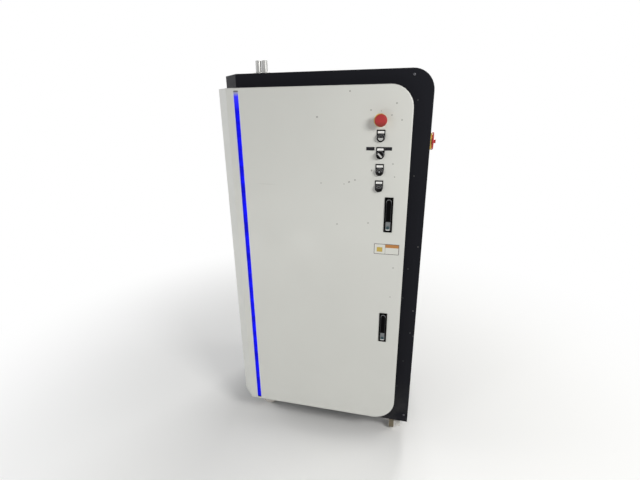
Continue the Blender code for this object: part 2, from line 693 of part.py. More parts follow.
def base_frame():
    """Welded base: folded floor tray, two channel posts that carry the mounting plate and a top bar."""
    gap = SHEET + TOUCH
    floor = FLOOR_LEVEL
    corner = FRAME_RETURN + TOUCH
    bm = bmesh.new()
    add_prism(bm, housing_plan(gap, corner), "z", floor, floor + FLOOR_EDGE)
    base = finish("base_frame", bm, DARK)
    hollow = bmesh.new()
    wall = gap + FLOOR_SHEET
    add_prism(hollow, housing_plan(wall, corner + FLOOR_SHEET), "z", floor + FLOOR_SHEET,
              floor + FLOOR_EDGE + OVERCUT)
    combine(base, "DIFFERENCE", guide("floor_hollow", hollow))
    slot = bmesh.new()
    add_box(slot, (GLAND_LOW[0] + GLAND_LAP, GLAND_LOW[1] + GLAND_LAP, floor - OVERCUT),
            (GLAND_HIGH[0] - GLAND_LAP, GLAND_HIGH[1] - GLAND_LAP, floor + FLOOR_SHEET + OVERCUT))
    combine(base, "DIFFERENCE", guide("gland_slot", slot))
    posts = bmesh.new()
    back = PLATE_FRONT + PLATE_SHEET + TOUCH
    for side in (-1, 1):
        outer = (INNER_LEFT + 0.012) if side < 0 else (INNER_RIGHT - 0.012)
        inner = outer - side * POST_WIDTH
        lip = POST_SHEET
        channel = [(outer, back), (outer, back + POST_WIDTH), (outer - side * lip, back + POST_WIDTH),
                   (outer - side * lip, back + lip), (inner + side * lip, back + lip),
                   (inner + side * lip, back + POST_WIDTH), (inner, back + POST_WIDTH), (inner, back)]
        add_prism(posts, channel, "z", floor + FLOOR_SHEET / 2, POST_TOP)
    combine(base, "UNION", guide("posts", posts))
    bar = bmesh.new()
    for z in BAR_LEVELS:
        near, far = back + 0.001, back + POST_WIDTH - 0.004
        angle = [(near, z), (near, z + POST_WIDTH), (near + POST_SHEET, z + POST_WIDTH),
                 (near + POST_SHEET, z + POST_SHEET), (far, z + POST_SHEET), (far, z)]
        add_prism(bar, angle, "x", INNER_LEFT + 0.012 + POST_WIDTH / 2, INNER_RIGHT - 0.012 - POST_WIDTH / 2)
    combine(base, "UNION", guide("cross_bars", bar))
    caster_plates(base)
    laser_shelf(base)


def gland_plate():
    """Cover over the cable slot in the floor, with four glands through it."""
    low = FLOOR_LEVEL + FLOOR_SHEET + TOUCH
    high = low + 0.003
    bm = bmesh.new()
    add_box(bm, (*GLAND_LOW, low), (*GLAND_HIGH, high))
    plate = finish("gland_plate", bm, ZINC)
    middle = (GLAND_LOW[1] + GLAND_HIGH[1]) / 2
    glands = bmesh.new()
    bores = bmesh.new()
    count = 4
    pitch = (GLAND_HIGH[0] - GLAND_LOW[0] - 0.030) / count
    for i in range(count):
        x = GLAND_LOW[0] + 0.015 + (i + 0.5) * pitch
        bottom, top = low - 0.012, high + 0.020
        add_turned(glands, [(0, bottom), (0.012, bottom), (0.012, high - 0.001), (0.0165, high - 0.001),
                            (0.0165, high + 0.010), (0.013, top), (0, top)], "z", (x, middle, 0), 10)
        add_cylinder(bores, 0.007, "z", (x, middle, 0), bottom - OVERCUT, top + OVERCUT, 10)
    combine(plate, "UNION", guide("glands", glands))
    combine(plate, "DIFFERENCE", guide("gland_bores", bores))
    return plate


# Door

DOOR_TRAY = {"face": DOOR_FRONT, "inward": 1, "left": DOOR_LEFT, "right": DOOR_RIGHT,
             "bottom": DOOR_BOTTOM, "top": DOOR_TOP, "bevel": DOOR_BEVEL,
             "bottom_radius": DOOR_BOTTOM_RADIUS, "top_radius": DOOR_TOP_RADIUS, "steps": 10,
             "straight_return": False}
LED_X = DOOR_BEND + LED_FROM_BEND
LED_LOW = DOOR_BOTTOM + LED_END_MARGIN
LED_HIGH = DOOR_TOP - LED_END_MARGIN
BUTTONS_X = DOOR_RIGHT - OPERATOR_FROM_RIGHT
ESTOP_HEIGHT = DOOR_TOP - ESTOP_FROM_TOP
HANDLES_X = DOOR_RIGHT - HANDLE_FROM_RIGHT
HANDLE_LEVELS = {"upper_handle": DOOR_TOP - UPPER_HANDLE_FROM_TOP,
                 "lower_handle": DOOR_BOTTOM + LOWER_HANDLE_FROM_BOTTOM}


def button_height(index):
    return ESTOP_HEIGHT - ESTOP_PITCH - index * BUTTON_PITCH


def door_panel():
    bm = bmesh.new()
    add_tray(bm, DOOR_TRAY, DOOR_DEPTH, DOOR_SHEET, FOLD_RADIUS)
    door = finish("door_panel", bm, WHITE)
    cutter = bmesh.new()
    low, high = DOOR_FRONT - OVERCUT, DOOR_FRONT + DOOR_SHEET + OVERCUT
    slot = LED_WIDTH / 2 + TOUCH
    add_box(cutter, (LED_X - slot, low, LED_LOW - TOUCH), (LED_X + slot, high, LED_HIGH + TOUCH))
    for z in [ESTOP_HEIGHT] + [button_height(i) for i in range(4)]:
        add_cylinder(cutter, PANEL_HOLE_RADIUS + TOUCH, "y", (BUTTONS_X, 0, z), low, high)
    half_width = HANDLE_WIDTH / 2 - HANDLE_RIM / 2 + TOUCH
    half_length = HANDLE_LENGTH / 2 - HANDLE_RIM / 2 + TOUCH
    for z in HANDLE_LEVELS.values():
        add_box(cutter, (HANDLES_X - half_width, low, z - half_length),
                (HANDLES_X + half_width, high, z + half_length))
    combine(door, "DIFFERENCE", guide("door_cuts", cutter))
    return door


STIFFENER_INSET = DOOR_SHEET + TOUCH
STIFFENER_LEFT = LED_X + LED_WIDTH / 2 + LED_WALL + 0.003
STIFFENER_CORNER = STIFFENER_WIDTH + 0.004


def stiffener_outline(inset):
    """Inside the door's folded edge on three sides and beside the light strip on the left."""
    steps = 5
    return rounded_outline((STIFFENER_LEFT + inset, DOOR_BOTTOM + STIFFENER_INSET + inset),
                           (DOOR_RIGHT - STIFFENER_INSET - inset, DOOR_TOP - STIFFENER_INSET - inset),
                           (STIFFENER_CORNER - inset, DOOR_BOTTOM_RADIUS - STIFFENER_INSET - inset,
                            DOOR_TOP_RADIUS - STIFFENER_INSET - inset, STIFFENER_CORNER - inset), steps)


def door_stiffener():
    """Channel ring welded behind the door's face; its web carries the seal."""
    front = DOOR_INNER + TOUCH
    web = DOOR_FRONT + DOOR_DEPTH
    wall = STIFFENER_SHEET
    bm = bmesh.new()
    add_ring(bm, stiffener_outline, [(0, front), (wall, front), (wall, web - wall),
                                     (STIFFENER_WIDTH - wall, web - wall), (STIFFENER_WIDTH - wall, front),
                                     (STIFFENER_WIDTH, front), (STIFFENER_WIDTH, web), (0, web)])
    return finish("door_stiffener", bm, WHITE)


def door_gasket():
    """Hollow-topped sponge strip round the stiffener's web."""
    low = DOOR_FRONT + DOOR_DEPTH + TOUCH
    high = HOUSING_FRONT - TOUCH
    edge = (STIFFENER_WIDTH - GASKET_WIDTH) / 2
    crown = (high - low) * 0.4
    bm = bmesh.new()
    add_ring(bm, stiffener_outline, [(edge, low), (edge + GASKET_WIDTH, low),
                                     (edge + GASKET_WIDTH, high - crown),
                                     (edge + GASKET_WIDTH * 0.7, high), (edge + GASKET_WIDTH * 0.3, high),
                                     (edge, high - crown)])
    return finish("door_gasket", bm, RUBBER)


def light_strip():
    """Aluminium channel behind the door's slot, and the diffuser with its solid ends in it."""
    half = LED_WIDTH / 2
    wall = LED_WALL
    face = DOOR_INNER + TOUCH
    back = face + LED_DEPTH
    flange = 0.0025
    channel = [(LED_X - half - flange, face), (LED_X - half, face), (LED_X - half, back - wall),
               (LED_X + half, back - wall), (LED_X + half, face), (LED_X + half + flange, face),
               (LED_X + half + flange, face + wall), (LED_X + half + wall, face + wall),
               (LED_X + half + wall, back), (LED_X - half - wall, back),
               (LED_X - half - wall, face + wall), (LED_X - half - flange, face + wall)]
    bm = bmesh.new()
    add_prism(bm, channel, "z", LED_LOW, LED_HIGH)
    pieces = [finish("led_channel", bm, STEEL)]
    lens = half - TOUCH
    front = DOOR_FRONT - 0.0006
    section = [(LED_X - lens, front + 0.0006), (LED_X - lens + 0.002, front), (LED_X + lens - 0.002, front),
               (LED_X + lens, front + 0.0006), (LED_X + lens, back - wall - 0.004),
               (LED_X + lens - 0.0012, back - wall - 0.004), (LED_X + lens - 0.0012, front + 0.0024),
               (LED_X - lens + 0.0012, front + 0.0024), (LED_X - lens + 0.0012, back - wall - 0.004),
               (LED_X - lens, back - wall - 0.004)]
    bm = bmesh.new()
    add_prism(bm, section, "z", LED_LOW, LED_HIGH)
    lens_piece = finish("led_diffuser", bm, BLUE)
    ends = bmesh.new()
    for low in (LED_LOW, LED_HIGH - LED_CAP_LENGTH):
        add_box(ends, (LED_X - lens + 0.0006, front + 0.001, low),
                (LED_X + lens - 0.0006, back - wall - 0.004, low + LED_CAP_LENGTH))
    fuse(lens_piece, "led_ends", ends)
    pieces.append(lens_piece)
    return pieces


# Hinges in the recess between the door's bevelled side and the housing's

HINGE_X = DOOR_LEFT + 0.008
HINGE_Y = DOOR_FRONT + DOOR_BEVEL + 0.034
HINGE_LEVELS = {"lower_hinge": DOOR_BOTTOM + HINGE_FROM_END, "middle_hinge": (DOOR_BOTTOM + DOOR_TOP) / 2,
                "upper_hinge": DOOR_TOP - HINGE_FROM_END}


def on_housing_bevel(along, out):
    """A point by its distance along the housing's bevel from the rear edge, and out from its face."""
    return (HOUSING_LEFT + (along - out) * DIAGONAL, HOUSING_FRONT + HOUSING_BEVEL - (along + out) * DIAGONAL)


def on_door_return(along, out):
    """A point by its distance along the door's left folded edge from the bevel, and out from its face."""
    return (DOOR_LEFT + (along - out) * DIAGONAL, DOOR_FRONT + DOOR_BEVEL + (along + out) * DIAGONAL)


def leaf_outline(on_face, axis_along, axis_out):
    """A leaf lying on a face, with an arm that stands out to the hinge's axis."""
    half = HINGE_LEAF_WIDTH / 2
    arm = HINGE_PIN
    top = TOUCH + HINGE_LEAF_SHEET
    return [on_face(axis_along - half, TOUCH), on_face(axis_along + half * 0.6, TOUCH),
            on_face(axis_along + half * 0.6, top), on_face(axis_along + arm, top),
            on_face(axis_along + arm, axis_out), on_face(axis_along - arm, axis_out),
            on_face(axis_along - arm, top), on_face(axis_along - half, top)]


def hinge(name, level, door_axis):
    """Lift-off hinge: a leaf with its pin on the housing, a leaf with a sleeve on the door."""
    from_left, from_front = HINGE_X - HOUSING_LEFT, HOUSING_FRONT + HOUSING_BEVEL - HINGE_Y
    housing_axis = ((from_left + from_front) * DIAGONAL, (from_front - from_left) * DIAGONAL)
    from_left, from_edge = HINGE_X - DOOR_LEFT, HINGE_Y - DOOR_FRONT - DOOR_BEVEL
    door_leaf_axis = ((from_left + from_edge) * DIAGONAL, (from_edge - from_left) * DIAGONAL)
    centre = (HINGE_X, HINGE_Y, 0)
    low, high = level - HINGE_LEAF / 2, level + HINGE_LEAF / 2
    bm = bmesh.new()
    add_prism(bm, leaf_outline(on_housing_bevel, *housing_axis), "z", low, level - TOUCH)
    frame_leaf = finish(name + "_frame_leaf", bm, BLACK)
    pin = bmesh.new()
    add_turned(pin, [(0, low), (HINGE_KNUCKLE, low), (HINGE_KNUCKLE, level - TOUCH), (HINGE_PIN, level - TOUCH),
                     (HINGE_PIN, high - 0.004), (HINGE_PIN * 0.6, high - 0.002), (0, high - 0.002)],
               "z", centre, 12)
    fuse(frame_leaf, name + "_pin", pin)
    bm = bmesh.new()
    add_prism(bm, leaf_outline(on_door_return, *door_leaf_axis), "z", level + TOUCH, high)
    door_leaf = finish(name + "_door_leaf", bm, BLACK)
    sleeve, bore = bmesh.new(), bmesh.new()
    add_cylinder(sleeve, HINGE_KNUCKLE, "z", centre, level + TOUCH, high, 12)
    add_cylinder(bore, HINGE_PIN + RUN, "z", centre, level, high + OVERCUT, 12)
    fuse(door_leaf, name + "_sleeve", sleeve)
    pierce(door_leaf, name + "_bore", bore)
    hang(door_leaf, door_axis)


# Operators

def add_contact_block(piece, name, z):
    """Square contact block behind the door, on the device's neck."""
    half = BLOCK_SIZE / 2
    step = DOOR_INNER + TOUCH + 0.010
    base = bmesh.new()
    add_box(base, (BUTTONS_X - half, DOOR_INNER + TOUCH, z - half * 0.9),
            (BUTTONS_X + half, step, z + half * 0.9))
    fuse(piece, name + "_base", base)
    block = bmesh.new()
    add_box(block, (BUTTONS_X - half * 0.8, step - 0.001, z - half * 0.75),
            (BUTTONS_X + half * 0.8, DOOR_INNER + BLOCK_DEPTH, z + half * 0.75))
    fuse(piece, name + "_block", block)


BUTTON_FACE = DOOR_FRONT - LEGEND_THICKNESS - TOUCH      # the bezels sit on the legend plates
LEGEND_SINK = 0.0002
NECK_END = DOOR_INNER + 0.006


def button_body(name, z, look, parent):
    """Round bezel on its legend plate, with the cap's pocket, a neck and a contact block behind the door."""
    front = BUTTON_FACE - BEZEL_HEIGHT
    pocket = CAP_RADIUS + RUN
    bm = bmesh.new()
    add_turned(bm, [(0, front + POCKET_DEPTH), (pocket, front + POCKET_DEPTH), (pocket, front + 0.001),
                    (pocket + 0.0006, front), (BEZEL_RADIUS - 0.0012, front), (BEZEL_RADIUS, front + 0.0015),
                    (BEZEL_RADIUS, BUTTON_FACE), (PANEL_HOLE_RADIUS, BUTTON_FACE),
                    (PANEL_HOLE_RADIUS, NECK_END), (0, NECK_END)], "y", (BUTTONS_X, 0, z), 20)
    body = finish(name, bm, look)
    plate = bmesh.new()
    half = LEGEND_WIDTH / 2
    outline = arc((BUTTONS_X, z), half, 180, 360, 10)
    outline += [(BUTTONS_X + half, z + LEGEND_RISE), (BUTTONS_X - half, z + LEGEND_RISE)]
    add_prism(plate, outline, "y", BUTTON_FACE - LEGEND_SINK, DOOR_FRONT - TOUCH)
    fuse(body, name + "_legend_plate", plate)
    add_contact_block(body, name, z)
    hang(body, parent)


def button_cap(name, z, look, parent):
    """Cap with a rounded rim that slides in the bezel's pocket."""
    front = BUTTON_FACE - BEZEL_HEIGHT - 0.0015
    back = BUTTON_FACE - BEZEL_HEIGHT + POCKET_DEPTH - BUTTON_TRAVEL - RUN
    bm = bmesh.new()
    add_turned(bm, [(0, front + 0.0006), (CAP_RADIUS * 0.82, front + 0.0006), (CAP_RADIUS * 0.9, front),
                    (CAP_RADIUS, front + 0.001), (CAP_RADIUS, back), (0, back)], "y", (BUTTONS_X, 0, z), 20)
    cap = finish(name, bm, look)
    hang(cap, joint_axis(name + "_axis", (BUTTONS_X, front, z), parent))


def key_switch(parent):
    """Lock rotor in a bezel like the buttons'; its short grip stands at 45 degrees."""
    z = button_height(1)
    button_body("key_switch_body", z, BLACK, parent)
    front = BUTTON_FACE - BEZEL_HEIGHT
    back = front + POCKET_DEPTH - RUN
    bm = bmesh.new()
    add_turned(bm, [(0, front - 0.001), (CAP_RADIUS - 0.001, front - 0.001), (CAP_RADIUS, front),
                    (CAP_RADIUS, back), (0, back)], "y", (BUTTONS_X, 0, z), 20)
    rotor = finish("key_switch_rotor", bm, CHROME)
    grip = bmesh.new()
    add_prism(grip, rounded_outline((-0.0026, -0.0100), (0.0026, 0.0100), (0.002,) * 4, 2), "y",
              front - 0.012, front)
    bmesh.ops.rotate(grip, verts=grip.verts, cent=(0, 0, 0),
                     matrix=Matrix.Rotation(math.radians(-KEY_TURN_DEG), 3, "Y"))
    bmesh.ops.translate(grip, verts=grip.verts, vec=(BUTTONS_X, 0, z))
    fuse(rotor, "key_grip", grip)
    hang(rotor, joint_axis("key_axis", (BUTTONS_X, front, z), parent))


def emergency_stop(parent):
    """Yellow collar and neck, with a red mushroom head on a stem that slides in it."""
    z = ESTOP_HEIGHT
    face = DOOR_FRONT - TOUCH
    front = DOOR_FRONT - ESTOP_PROJECTION
    head_back = front + ESTOP_HEAD
    collar = head_back + ESTOP_TRAVEL + RUN
    bore = ESTOP_STEM + RUN
    bore_end = DOOR_INNER
    stem_end = bore_end - ESTOP_TRAVEL - RUN
    bm = bmesh.new()
    add_turned(bm, [(0, bore_end), (bore, bore_end), (bore, collar),
                    (COLLAR_RADIUS - 0.003, collar), (COLLAR_RADIUS, face - 0.003), (COLLAR_RADIUS, face),
                    (PANEL_HOLE_RADIUS, face), (PANEL_HOLE_RADIUS, NECK_END), (0, NECK_END)],
               "y", (BUTTONS_X, 0, z), 20)
    body = finish("emergency_stop_body", bm, YELLOW)
    add_contact_block(body, "emergency_stop", z)
    hang(body, parent)
    flat = ESTOP_RADIUS - ESTOP_EDGE
    edge = front + ESTOP_CROWN + ESTOP_EDGE
    profile = [(0, front), (flat * 0.6, front + ESTOP_CROWN * 0.36)]
    profile += [(radius, along) for along, radius in arc((edge, flat), ESTOP_EDGE, 180, 90, 4)]
    profile += [(ESTOP_RADIUS - 0.0015, head_back - 0.0025), (ESTOP_RADIUS - 0.004, head_back),
                (ESTOP_STEM, head_back), (ESTOP_STEM, stem_end), (0, stem_end)]
    bm = bmesh.new()
    add_turned(bm, profile, "y", (BUTTONS_X, 0, z), 28)
    head = finish("emergency_stop_head", bm, RED)
    hang(head, joint_axis("emergency_stop_axis", (BUTTONS_X, front, z), parent))


# Flush handles

def handle(prefix, middle, parent):
    """Black plate with a recess, a lever hinged at its top end and a push lock below the lever."""
    front = DOOR_FRONT - HANDLE_PROUD
    half_width, half_length = HANDLE_WIDTH / 2, HANDLE_LENGTH / 2
    tub_width, tub_length = half_width - HANDLE_RIM / 2, half_length - HANDLE_RIM / 2
    floor = front + HANDLE_RECESS - HANDLE_WALL
    bm = bmesh.new()
    add_prism(bm, rounded_outline((HANDLES_X - half_width, middle - half_length),
                                  (HANDLES_X + half_width, middle + half_length), (0.002,) * 4, 2),
              "y", front, DOOR_FRONT - TOUCH)
    plate = finish(prefix + "_plate", bm, BLACK)
    tub = bmesh.new()
    add_box(tub, (HANDLES_X - tub_width, DOOR_FRONT - 0.001, middle - tub_length),
            (HANDLES_X + tub_width, front + HANDLE_RECESS, middle + tub_length))
    fuse(plate, prefix + "_tub", tub)

    edge = 0.006
    lever_top = middle + half_length - edge - 2 * CLEAR
    lever_bottom = lever_top - LEVER_LENGTH
    lock_top = lever_bottom - CLEAR
    lock_bottom = lock_top - LOCK_LENGTH
    recess = bmesh.new()
    half = LEVER_WIDTH / 2 + CLEAR
    sill = lever_bottom - CLEAR / 2
    add_prism(recess, [(HANDLES_X - half, sill), (HANDLES_X + half, sill)]
              + arc((HANDLES_X, lever_top + 2 * CLEAR - half), half, 0, 180, 12), "y", front - OVERCUT, floor)
    pierce(plate, prefix + "_recess", recess)
    pocket = bmesh.new()
    half = LOCK_WIDTH / 2 + RUN
    add_box(pocket, (HANDLES_X - half, front - OVERCUT, lock_bottom - RUN),
            (HANDLES_X + half, floor, lever_bottom))
    pierce(plate, prefix + "_pocket", pocket)

    pin_z = lever_top - LEVER_WIDTH / 2
    pin_y = front + LEVER_THICKNESS / 2
    pin = bmesh.new()
    add_cylinder(pin, HANDLE_PIN, "x", (0, pin_y, pin_z), HANDLES_X - half_width + HANDLE_RIM,
                 HANDLES_X + half_width - HANDLE_RIM, 12)
    fuse(plate, prefix + "_pin", pin)
    boss = bmesh.new()
    boss_end = front + HANDLE_RECESS + 0.008
    add_cylinder(boss, 0.007, "y", (HANDLES_X, 0, middle), front + HANDLE_RECESS - 0.001, boss_end, 14)
    fuse(plate, prefix + "_boss", boss)
    cam = bmesh.new()
    cam_outline = rounded_outline((HANDLES_X - 0.008, middle - CAM_LENGTH),
                                  (HANDLES_X + 0.008, middle + 0.010), (0.003,) * 4, 2)
    add_prism(cam, cam_outline, "y", boss_end - 0.004, boss_end - 0.001)
    fuse(plate, prefix + "_cam", cam)
    hang(plate, parent)

    half = LEVER_WIDTH / 2
    bm = bmesh.new()
    add_prism(bm, [(HANDLES_X - half, lever_bottom), (HANDLES_X + half, lever_bottom)]
              + arc((HANDLES_X, lever_top - half), half, 0, 180, 14), "y", front, front + LEVER_THICKNESS)
    lever = finish(prefix + "_lever", bm, BLACK)
    soften(lever, LEVER_EDGE, 2)
    bore = bmesh.new()
    add_cylinder(bore, HANDLE_PIN + RUN, "x", (0, pin_y, pin_z), HANDLES_X - half - OVERCUT,
                 HANDLES_X + half + OVERCUT, 12)
    pierce(lever, prefix + "_bore", bore)
    hang(lever, joint_axis(prefix + "_lever_axis", (HANDLES_X, pin_y, pin_z), parent))

    half = LOCK_WIDTH / 2
    bm = bmesh.new()
    add_prism(bm, rounded_outline((HANDLES_X - half, lock_bottom), (HANDLES_X + half, lock_top),
                                  (0.006, 0.006, 0.001, 0.001), 3), "y", front - 0.0006,
              floor - LOCK_TRAVEL - RUN)
    lock = finish(prefix + "_lock", bm, CHROME)
    soften(lock, 0.0008, 1)
    cylinder = bmesh.new()
    add_cylinder(cylinder, 0.0068, "y", (HANDLES_X, 0, lock_bottom + half + 0.002), front - 0.0016,
                 front + 0.001, 16)
    fuse(lock, prefix + "_cylinder", cylinder)
    hang(lock, joint_axis(prefix + "_lock_axis", (HANDLES_X, front, lock_bottom + half), parent))


# Main switch

def main_switch():
    """Yellow plate outside, red handle with a grip bar and its shaft, switch body inside the panel."""
    centre = (0, SWITCH_Y, SWITCH_Z)
    half = SWITCH_PLATE / 2
    low = HOUSING_RIGHT + TOUCH
    high = HOUSING_RIGHT + SWITCH_PLATE_THICKNESS
    bm = bmesh.new()
    add_prism(bm, rounded_outline((SWITCH_Y - half, SWITCH_Z - half), (SWITCH_Y + half, SWITCH_Z + half),
                                  (0.004,) * 4, 3), "x", low, high)
    plate = finish("main_switch_plate", bm, YELLOW)
    hole = bmesh.new()
    add_cylinder(hole, SWITCH_SHAFT_RADIUS + RUN, "x", centre, low - OVERCUT, high + OVERCUT)
    pierce(plate, "switch_plate_hole", hole)

    disc = high + TOUCH
    face = disc + SWITCH_DISC_THICKNESS
    inner = INNER_RIGHT - TOUCH
    shaft_end = inner - 0.012
    bm = bmesh.new()
    add_turned(bm, [(0, shaft_end), (SWITCH_SHAFT_RADIUS, shaft_end), (SWITCH_SHAFT_RADIUS, disc),
                    (SWITCH_DISC_RADIUS, disc), (SWITCH_DISC_RADIUS, face - 0.002),
                    (SWITCH_DISC_RADIUS - 0.002, face), (0, face)], "x", centre, 28)
    knob = finish("main_switch_knob", bm, RED)
    grip = bmesh.new()
    long_half, grip_half = SWITCH_GRIP_LENGTH / 2, SWITCH_GRIP_WIDTH / 2
    add_prism(grip, rounded_outline((SWITCH_Y - long_half, SWITCH_Z - grip_half),
                                    (SWITCH_Y + long_half, SWITCH_Z + grip_half), (0.004,) * 4, 3),
              "x", face - 0.001, face + SWITCH_GRIP_HEIGHT)
    fuse(knob, "switch_grip", grip)
    hang(knob, joint_axis("main_switch_axis", (HOUSING_RIGHT, SWITCH_Y, SWITCH_Z)))

    half = SWITCH_BODY / 2
    bm = bmesh.new()
    add_box(bm, (inner - SWITCH_BODY_DEPTH, SWITCH_Y - half, SWITCH_Z - half),
            (inner, SWITCH_Y + half, SWITCH_Z + half))
    body = finish("main_switch_body", bm, BLACK)
    shaft = bmesh.new()
    add_cylinder(shaft, SWITCH_SHAFT_RADIUS + RUN, "x", centre, shaft_end - RUN, inner + OVERCUT)
    pierce(body, "switch_socket", shaft)
    ports = bmesh.new()
    for side in (-1, 1):
        for row in range(4):
            y = SWITCH_Y - half + (row + 0.5) * SWITCH_BODY / 4
            add_box(ports, (inner - 0.034, y - 0.005, SWITCH_Z + side * half - 0.006),
                    (inner - 0.020, y + 0.005, SWITCH_Z + side * half + 0.006))
    pierce(body, "switch_ports", ports)


# Casters

CASTER_TOP = HOUSING_BOTTOM - TOUCH
FORK_TOP = CASTER_TOP - CASTER_PLATE_THICKNESS - RACEWAY_HEIGHT - TOUCH
FORK_GAP = 0.0012                      # between the wheel's hub and each cheek
HUB_WIDTH = WHEEL_WIDTH + 0.003
FORK_HALF = HUB_WIDTH / 2 + FORK_GAP   # inner face of each cheek
# side, end, swivel angle and the side that carries the brake
CASTERS = {"front_left": (-1, -1, -90, -1), "front_right": (1, -1, 180, -1),
           "rear_left": (-1, 1, 0, 0), "rear_right": (1, 1, 0, 0)}


def caster_place(side, end):
    x = HOUSING_LEFT + CASTER_INSET_X if side < 0 else HOUSING_RIGHT - CASTER_INSET_X
    y = HOUSING_FRONT + CASTER_INSET_Y if end < 0 else HOUSING_BACK - CASTER_INSET_Y
    return x, y


def caster_plates(base):
    """Four top plates bolted under the floor, each with a spacer above and its bearing race below."""
    low = CASTER_TOP - CASTER_PLATE_THICKNESS
    pads, plates, races = bmesh.new(), bmesh.new(), bmesh.new()
    for side, end, *_ in CASTERS.values():
        x, y = caster_place(side, end)
        half_x, half_y = CASTER_PLATE_LENGTH / 2, CASTER_PLATE_WIDTH / 2
        add_cylinder(pads, RACEWAY_RADIUS, "z", (x, y, 0), CASTER_TOP - 0.001,
                     FLOOR_LEVEL + FLOOR_SHEET / 2, 16)
        add_prism(plates, rounded_outline((x - half_x, y - half_y), (x + half_x, y + half_y), (0.008,) * 4, 3),
                  "z", low, CASTER_TOP)
        add_turned(races, [(0, low + 0.001), (RACEWAY_RADIUS - 0.003, low + 0.001),
                           (RACEWAY_RADIUS, low - RACEWAY_HEIGHT * 0.5),
                           (RACEWAY_RADIUS - 0.002, low - RACEWAY_HEIGHT),
                           (KINGPIN_RADIUS + RUN, low - RACEWAY_HEIGHT), (KINGPIN_RADIUS + RUN, low - 0.001),
                           (0, low - 0.001)], "z", (x, y, 0), 16)
    for name, bm in (("caster_pads", pads), ("caster_plates", plates), ("caster_races", races)):
        fuse(base, name, bm)


def turned_about(bm, turn_deg, x, y):
    """Swivel a caster's shape, made at the origin, and set it in place."""
    bmesh.ops.rotate(bm, verts=bm.verts, cent=(0, 0, 0), matrix=Matrix.Rotation(math.radians(turn_deg), 3, "Z"))
    bmesh.ops.translate(bm, verts=bm.verts, vec=(x, y, 0))
    return bm


